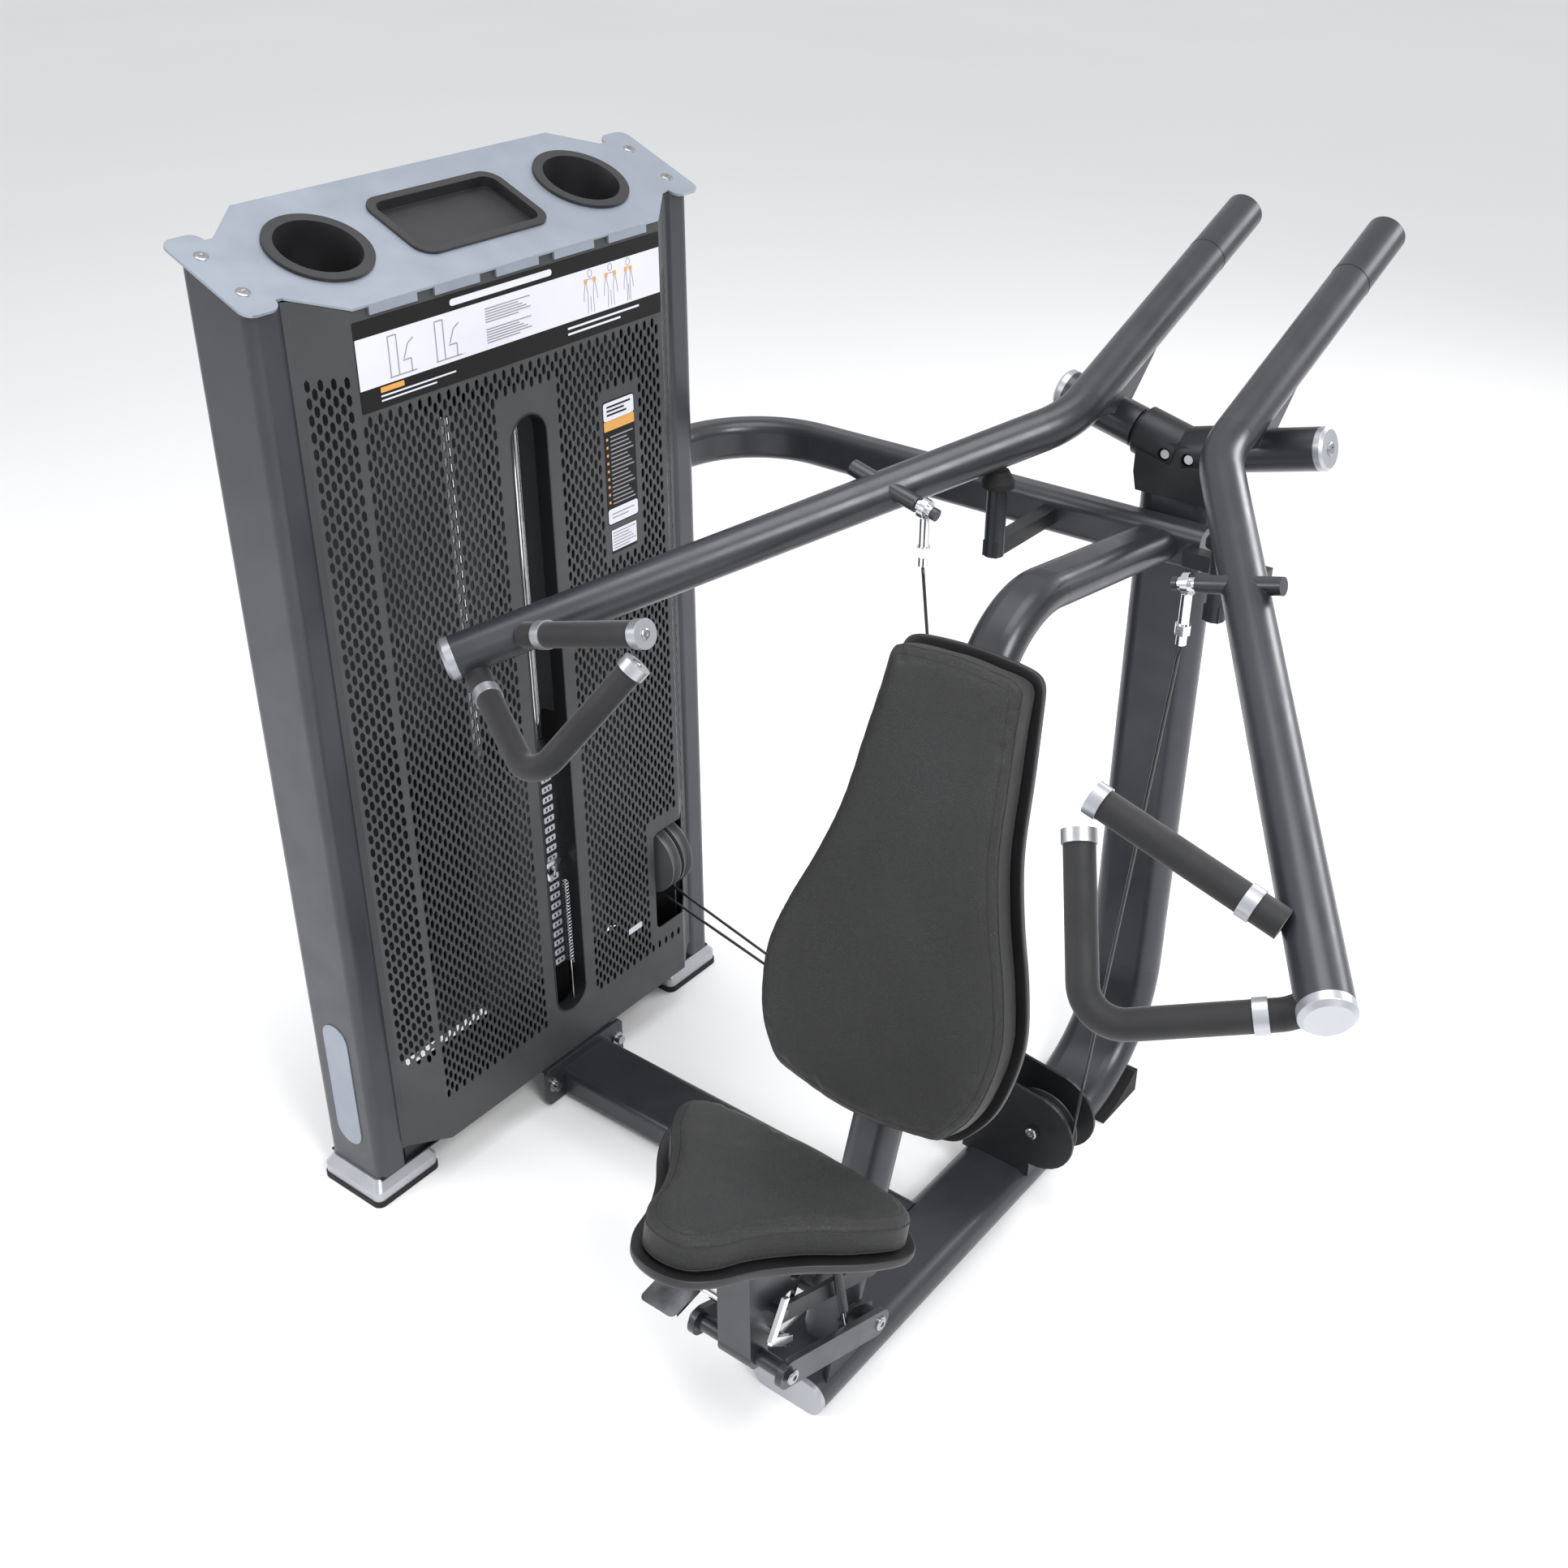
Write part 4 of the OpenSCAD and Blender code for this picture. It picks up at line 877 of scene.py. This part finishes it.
def small_lines(builder, y, z, w, count, pitch, lift, thick=0.0016):
    """A block of plain bars standing in for small print."""
    for k in range(count):
        short = w * (1 - 0.09 * ((k * 7) % 4))
        card(builder, y - (w - short) / 2, z - k * pitch, short, thick, lift, 0.0003)


def stroke(builder, points, w, lift):
    """Straight strokes between points of a diagram."""
    for (y0, z0), (y1, z1) in zip(points, points[1:]):
        d = Vector((y1 - y0, z1 - z0))
        n = Vector((-d.y, d.x)).normalized() * w / 2
        quad = [(y0 + n.x, z0 + n.y), (y0 - n.x, z0 - n.y), (y1 - n.x, z1 - n.y), (y1 + n.x, z1 + n.y)]
        builder.add([(LABEL_X + lift + h, y, z) for h in (0, 0.0002) for y, z in quad],
                    [(0, 1, 2, 3), (7, 6, 5, 4), (0, 4, 5, 1), (1, 5, 6, 2), (2, 6, 7, 3), (3, 7, 4, 0)])


def press_drawing(y, z):
    """Plain outline of a tower, a floor line, an arm and a seat."""
    stroke(grey, [(y - 0.020, z - 0.026), (y - 0.020, z + 0.026), (y - 0.006, z + 0.026),
                  (y - 0.006, z - 0.026)], DRAWING_LINE, DRAWN)
    stroke(grey, [(y - 0.022, z - 0.027), (y + 0.024, z - 0.027)], DRAWING_LINE, DRAWN)
    stroke(grey, [(y + 0.004, z - 0.008), (y + 0.012, z + 0.010), (y + 0.022, z + 0.016)],
           DRAWING_LINE, DRAWN)
    stroke(grey, [(y + 0.002, z - 0.010), (y + 0.016, z - 0.010), (y + 0.016, z - 0.027)],
           DRAWING_LINE, DRAWN)


def figure_drawing(y, z, half):
    """Plain standing figure with amber shoulders; half is half the shoulders' width."""
    head = [(y + 0.0042 * math.cos(a), z + 0.026 + 0.0052 * math.sin(a))
            for a in np.linspace(0, 2 * math.pi, 13)]
    stroke(grey, head, FIGURE_LINE, DRAWN)
    stroke(grey, [(y - half, z + 0.018), (y + half, z + 0.018), (y + half * 0.6, z - 0.002),
                  (y + half * 0.7, z - 0.030)], FIGURE_LINE, DRAWN)
    stroke(grey, [(y - half, z + 0.018), (y - half * 0.6, z - 0.002), (y - half * 0.7, z - 0.030)],
           FIGURE_LINE, DRAWN)
    stroke(grey, [(y, z - 0.006), (y, z - 0.028)], FIGURE_LINE, DRAWN)
    for s in (-1, 1):
        stroke(grey, [(y + s * half, z + 0.018), (y + s * (half + 0.004), z),
                      (y + s * (half + 0.005), z - 0.012)], FIGURE_LINE, DRAWN)
        card(amber, y + s * half, z + 0.016, 0.006, 0.007, 0.0012, 0.002)


# Two outline drawings of a press, two blocks of bars, three plain figures
for dy in (-0.215, -0.135):
    press_drawing(mid_y + dy, pale_z)
for dz in (0.022, -0.006):
    small_lines(grey, mid_y - 0.022, pale_z + dz, 0.085, 6, 0.0036, DRAWN)
for dy, half in ((0.140, 0.009), (0.182, 0.009), (0.220, 0.005)):
    figure_drawing(mid_y + dy, pale_z, half)
card(pale, mid_y - 0.03, plac_hi[2] - STRIP_TOP / 2, 0.19, 0.009, 0.0008, 0.004)
card(amber, mid_y - 0.235, plac_lo[2] + STRIP_LOW - 0.006, 0.040, 0.007, 0.0009, 0.001)
small_lines(pale, mid_y - 0.190, plac_lo[2] + STRIP_LOW - 0.014, 0.130, 2, 0.006, 0.0009, 0.0022)
small_lines(pale, mid_y + 0.165, plac_lo[2] + STRIP_LOW - 0.009, 0.150, 2, 0.008, 0.0009, 0.0030)

# Narrow notice strip and a small card below it
NOTICE_Y, NOTICE_Z = -0.114, (1.000, 1.195)
NOTICE_WIDE = 0.066
card(black, NOTICE_Y, sum(NOTICE_Z) / 2, 0.068, NOTICE_Z[1] - NOTICE_Z[0], 0.0, 0.005, 0.0004)
card(pale, NOTICE_Y, NOTICE_Z[1] - 0.016, NOTICE_WIDE, 0.028, 0.0005, 0.004)
card(amber, NOTICE_Y, NOTICE_Z[1] - 0.038, NOTICE_WIDE, 0.015, 0.0005, 0.001)
card(pale, NOTICE_Y, NOTICE_Z[0] + 0.014, NOTICE_WIDE, 0.024, 0.0005, 0.004)
small_lines(grey, NOTICE_Y + 0.004, NOTICE_Z[1] - 0.056, 0.050, 17, 0.0066, 0.0005, 0.0020)
small_lines(black, NOTICE_Y, NOTICE_Z[1] - 0.009, 0.052, 3, 0.0062, 0.0008, 0.0028)
small_lines(grey, NOTICE_Y, NOTICE_Z[0] + 0.017, 0.050, 2, 0.006, 0.0008, 0.0018)
for k in range(9):
    card(amber, NOTICE_Y - 0.028, NOTICE_Z[1] - 0.058 - k * 0.0125, 0.004, 0.004, 0.0006, 0.0005)
card(pale, NOTICE_Y, 0.974, 0.056, 0.034, 0.0003, 0.001)
card(black, NOTICE_Y, 0.972, 0.058, 0.040, 0.0, 0.001)
small_lines(grey, NOTICE_Y, 0.986, 0.050, 6, 0.0050, 0.0006, 0.0016)
card(pale, -0.135, 0.240, 0.034, 0.012, 0.0, 0.002)
piece = black.build("label_black", "print_black", "frame", "label_film")
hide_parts("placard")
pale.build("label_pale", "print_pale", "frame", "label_film")
grey.build("label_drawings", "print_grey", "frame", "label_film")
amber.build("label_amber", "print_amber", "frame", "label_film")

# ---------------------------------------------------------------- weight stack trim
PLATES, LIFTED, PITCH, STACK_Z = 20, 9, 0.019, 0.225
STACK_FACE = TOWER_X + 0.060
TAB_Y, TAB_THICK = 0.022, 0.0006
tabs = {"frame": Builder(), "lifted_stack": Builder()}
marks = {"frame": Builder(), "lifted_stack": Builder()}
for k in range(PLATES):
    body = "frame" if k < PLATES - LIFTED else "lifted_stack"
    z = STACK_Z + (k + 0.5) * PITCH
    tab_at = Matrix.Translation((STACK_FACE, TOWER_Y + TAB_Y, z)) @ SIDE_ON
    tabs[body].prism(rounded_rect(0.022, 0.011, 0.002, 3), tab_at, TAB_THICK)
    for dy in (-0.004, 0.004):
        mark = tab_at @ Matrix.Translation((dy, 0, TAB_THICK))
        marks[body].prism(rounded_rect(0.0032, 0.0058, 0.001, 2), mark, 0.0003)
for body, builder in tabs.items():
    builder.build(f"number_tabs_{body}", "print_pale", body, "label_film")
    marks[body].build(f"number_marks_{body}", "print_black", body, "label_film")

LANYARD = (TOWER_X + 0.092, TOWER_Y + 0.017)
COIL_LOW, COIL_HIGH, COIL_TURNS, COIL_R, COIL_WIRE = 0.250, 0.4170, 26, 0.0048, 0.0013
steps = COIL_TURNS * 14
points = []
for k in range(steps + 1):
    a = 2 * math.pi * COIL_TURNS * (k / steps)
    points.append((LANYARD[0] + COIL_R * math.cos(a), LANYARD[1] + COIL_R * math.sin(a),
                   COIL_LOW + (COIL_HIGH - COIL_LOW) * (k / steps)))
coil = add_mesh("lanyard_coil", *tube(points, COIL_WIRE, 6), "spring", None, "bright_steel", smooth=True,
                blend=("frame", "lifted_stack", (*LANYARD, COIL_LOW), (*LANYARD, COIL_HIGH)))
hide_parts("lanyard_spring")
wire = [(*LANYARD, z) for z in (0.075, 0.16, COIL_LOW + 0.002)]
add_mesh("lanyard_wire", *tube(wire, 0.0012, 8), "spring", "frame", "bright_steel", smooth=True)

# ---------------------------------------------------------------- screws and small hardware
PLATE_AT = Matrix.Translation((TOWER_X, TOWER_Y, 1.484)) @ Matrix.Rotation(TOP_TILT, 4, "Y")
hardware = Builder()
for sx in (-1, 1):
    for sy in (-1, 1):
        place = PLATE_AT @ Matrix.Translation((sx * 0.040, sy * 0.390, 0.0))
        hardware.screw(place, 0.0095, 0.0018)
PIVOT_Y, PIVOT_Z = -0.506, 0.110         # lower links' pins on the seat bracket
LINK, LINK_RISE = 0.226, math.radians(22.1)
for s in (-1, 1):
    hardware.screw(facing((s * 0.0802, PIVOT_Y, PIVOT_Z), (s, 0, 0)), 0.011, 0.004)
for x, z in (WHEEL_RIGHT, WHEEL_LEFT):
    hardware.screw(facing((x, -0.0742, z), (0, -1, 0)), 0.010, 0.004)
    hardware.screw(facing((x, 0.0102, z), (0, 1, 0)), 0.010, 0.004)
hardware.build("frame_screws", "zinc", "frame", "bright_steel")

link_end = Vector((0, PIVOT_Y - LINK * math.cos(LINK_RISE), PIVOT_Z + LINK * math.sin(LINK_RISE)))
hardware = Builder()
for s in (-1, 1):
    hardware.screw(facing(link_end + Vector((s * 0.0842, 0, 0)), (s, 0, 0)), 0.011, 0.004)
hardware.build("link_screws", "zinc", "lower_links", "bright_steel")

GRIP_A = ((0.548, -0.490, 0.999), (0.335, -0.498, 1.068))
GRIP_B = ((0.406, -0.635, 0.886), (0.325, -0.526, 1.028))
CAP_PAST_END = 0.0162
HUB, HUB_HALF, HUB_TILT = Vector((0, 0.336, 1.140)), 0.2192, math.radians(14.2)
ARM_BEND, ARM_REAR, TAIL, ARM_R = Vector((0.115, 0.187, 1.206)), Vector((0.114, 0.692, 1.404)), 0.130, 0.03
for side, tag in ((1, "right"), (-1, "left")):
    caps = Builder()
    flip = Matrix.Scale(-1, 4, (1, 0, 0)) if side < 0 else Matrix.Identity(4)
    for a, b in (GRIP_A, GRIP_B):
        d = (Vector(b) - Vector(a)).normalized()
        end = Vector(b) + d * CAP_PAST_END
        caps.screw(facing(flip @ end, flip.to_3x3() @ d), 0.0075, 0.0022)
    hub_axis = Vector((math.cos(HUB_TILT), 0, math.sin(HUB_TILT)))
    caps.screw(facing(flip @ (HUB + hub_axis * HUB_HALF), flip.to_3x3() @ hub_axis), 0.010, 0.003)
    caps.build(f"cap_screws_{tag}", "zinc", f"arm_{tag}", "bright_steel")
    tail = (ARM_REAR - ARM_BEND).normalized()
    across = tail.orthogonal().normalized()
    joint = ARM_REAR - tail * TAIL
    seam = [flip @ (joint + (across * math.cos(a) + tail.cross(across) * math.sin(a)) * ARM_R)
            for a in np.linspace(0, 2 * math.pi, 48, endpoint=False)]
    add_mesh(f"arm_seam_{tag}", *tube(seam, 0.0005, 6, closed=True), "print_black", f"arm_{tag}",
             "frame_paint", smooth=True)

# ---------------------------------------------------------------- floor
bpy.ops.mesh.primitive_plane_add(size=30, location=(0, 0, -0.0005))
floor = bpy.context.object
floor.name = "floor"
shade = bpy.data.materials.new("floor")
shade.use_nodes = True
t = shade.node_tree
tone = ramp(t, noise(t, 0.6, 2), 0.3, 0.7, (0.91, 0.91, 0.912), (0.93, 0.93, 0.932))
t.links.new(tone, t.nodes["Principled BSDF"].inputs["Base Color"])
t.nodes["Principled BSDF"].inputs["Roughness"].default_value = 0.75
paint_object(floor, shade)
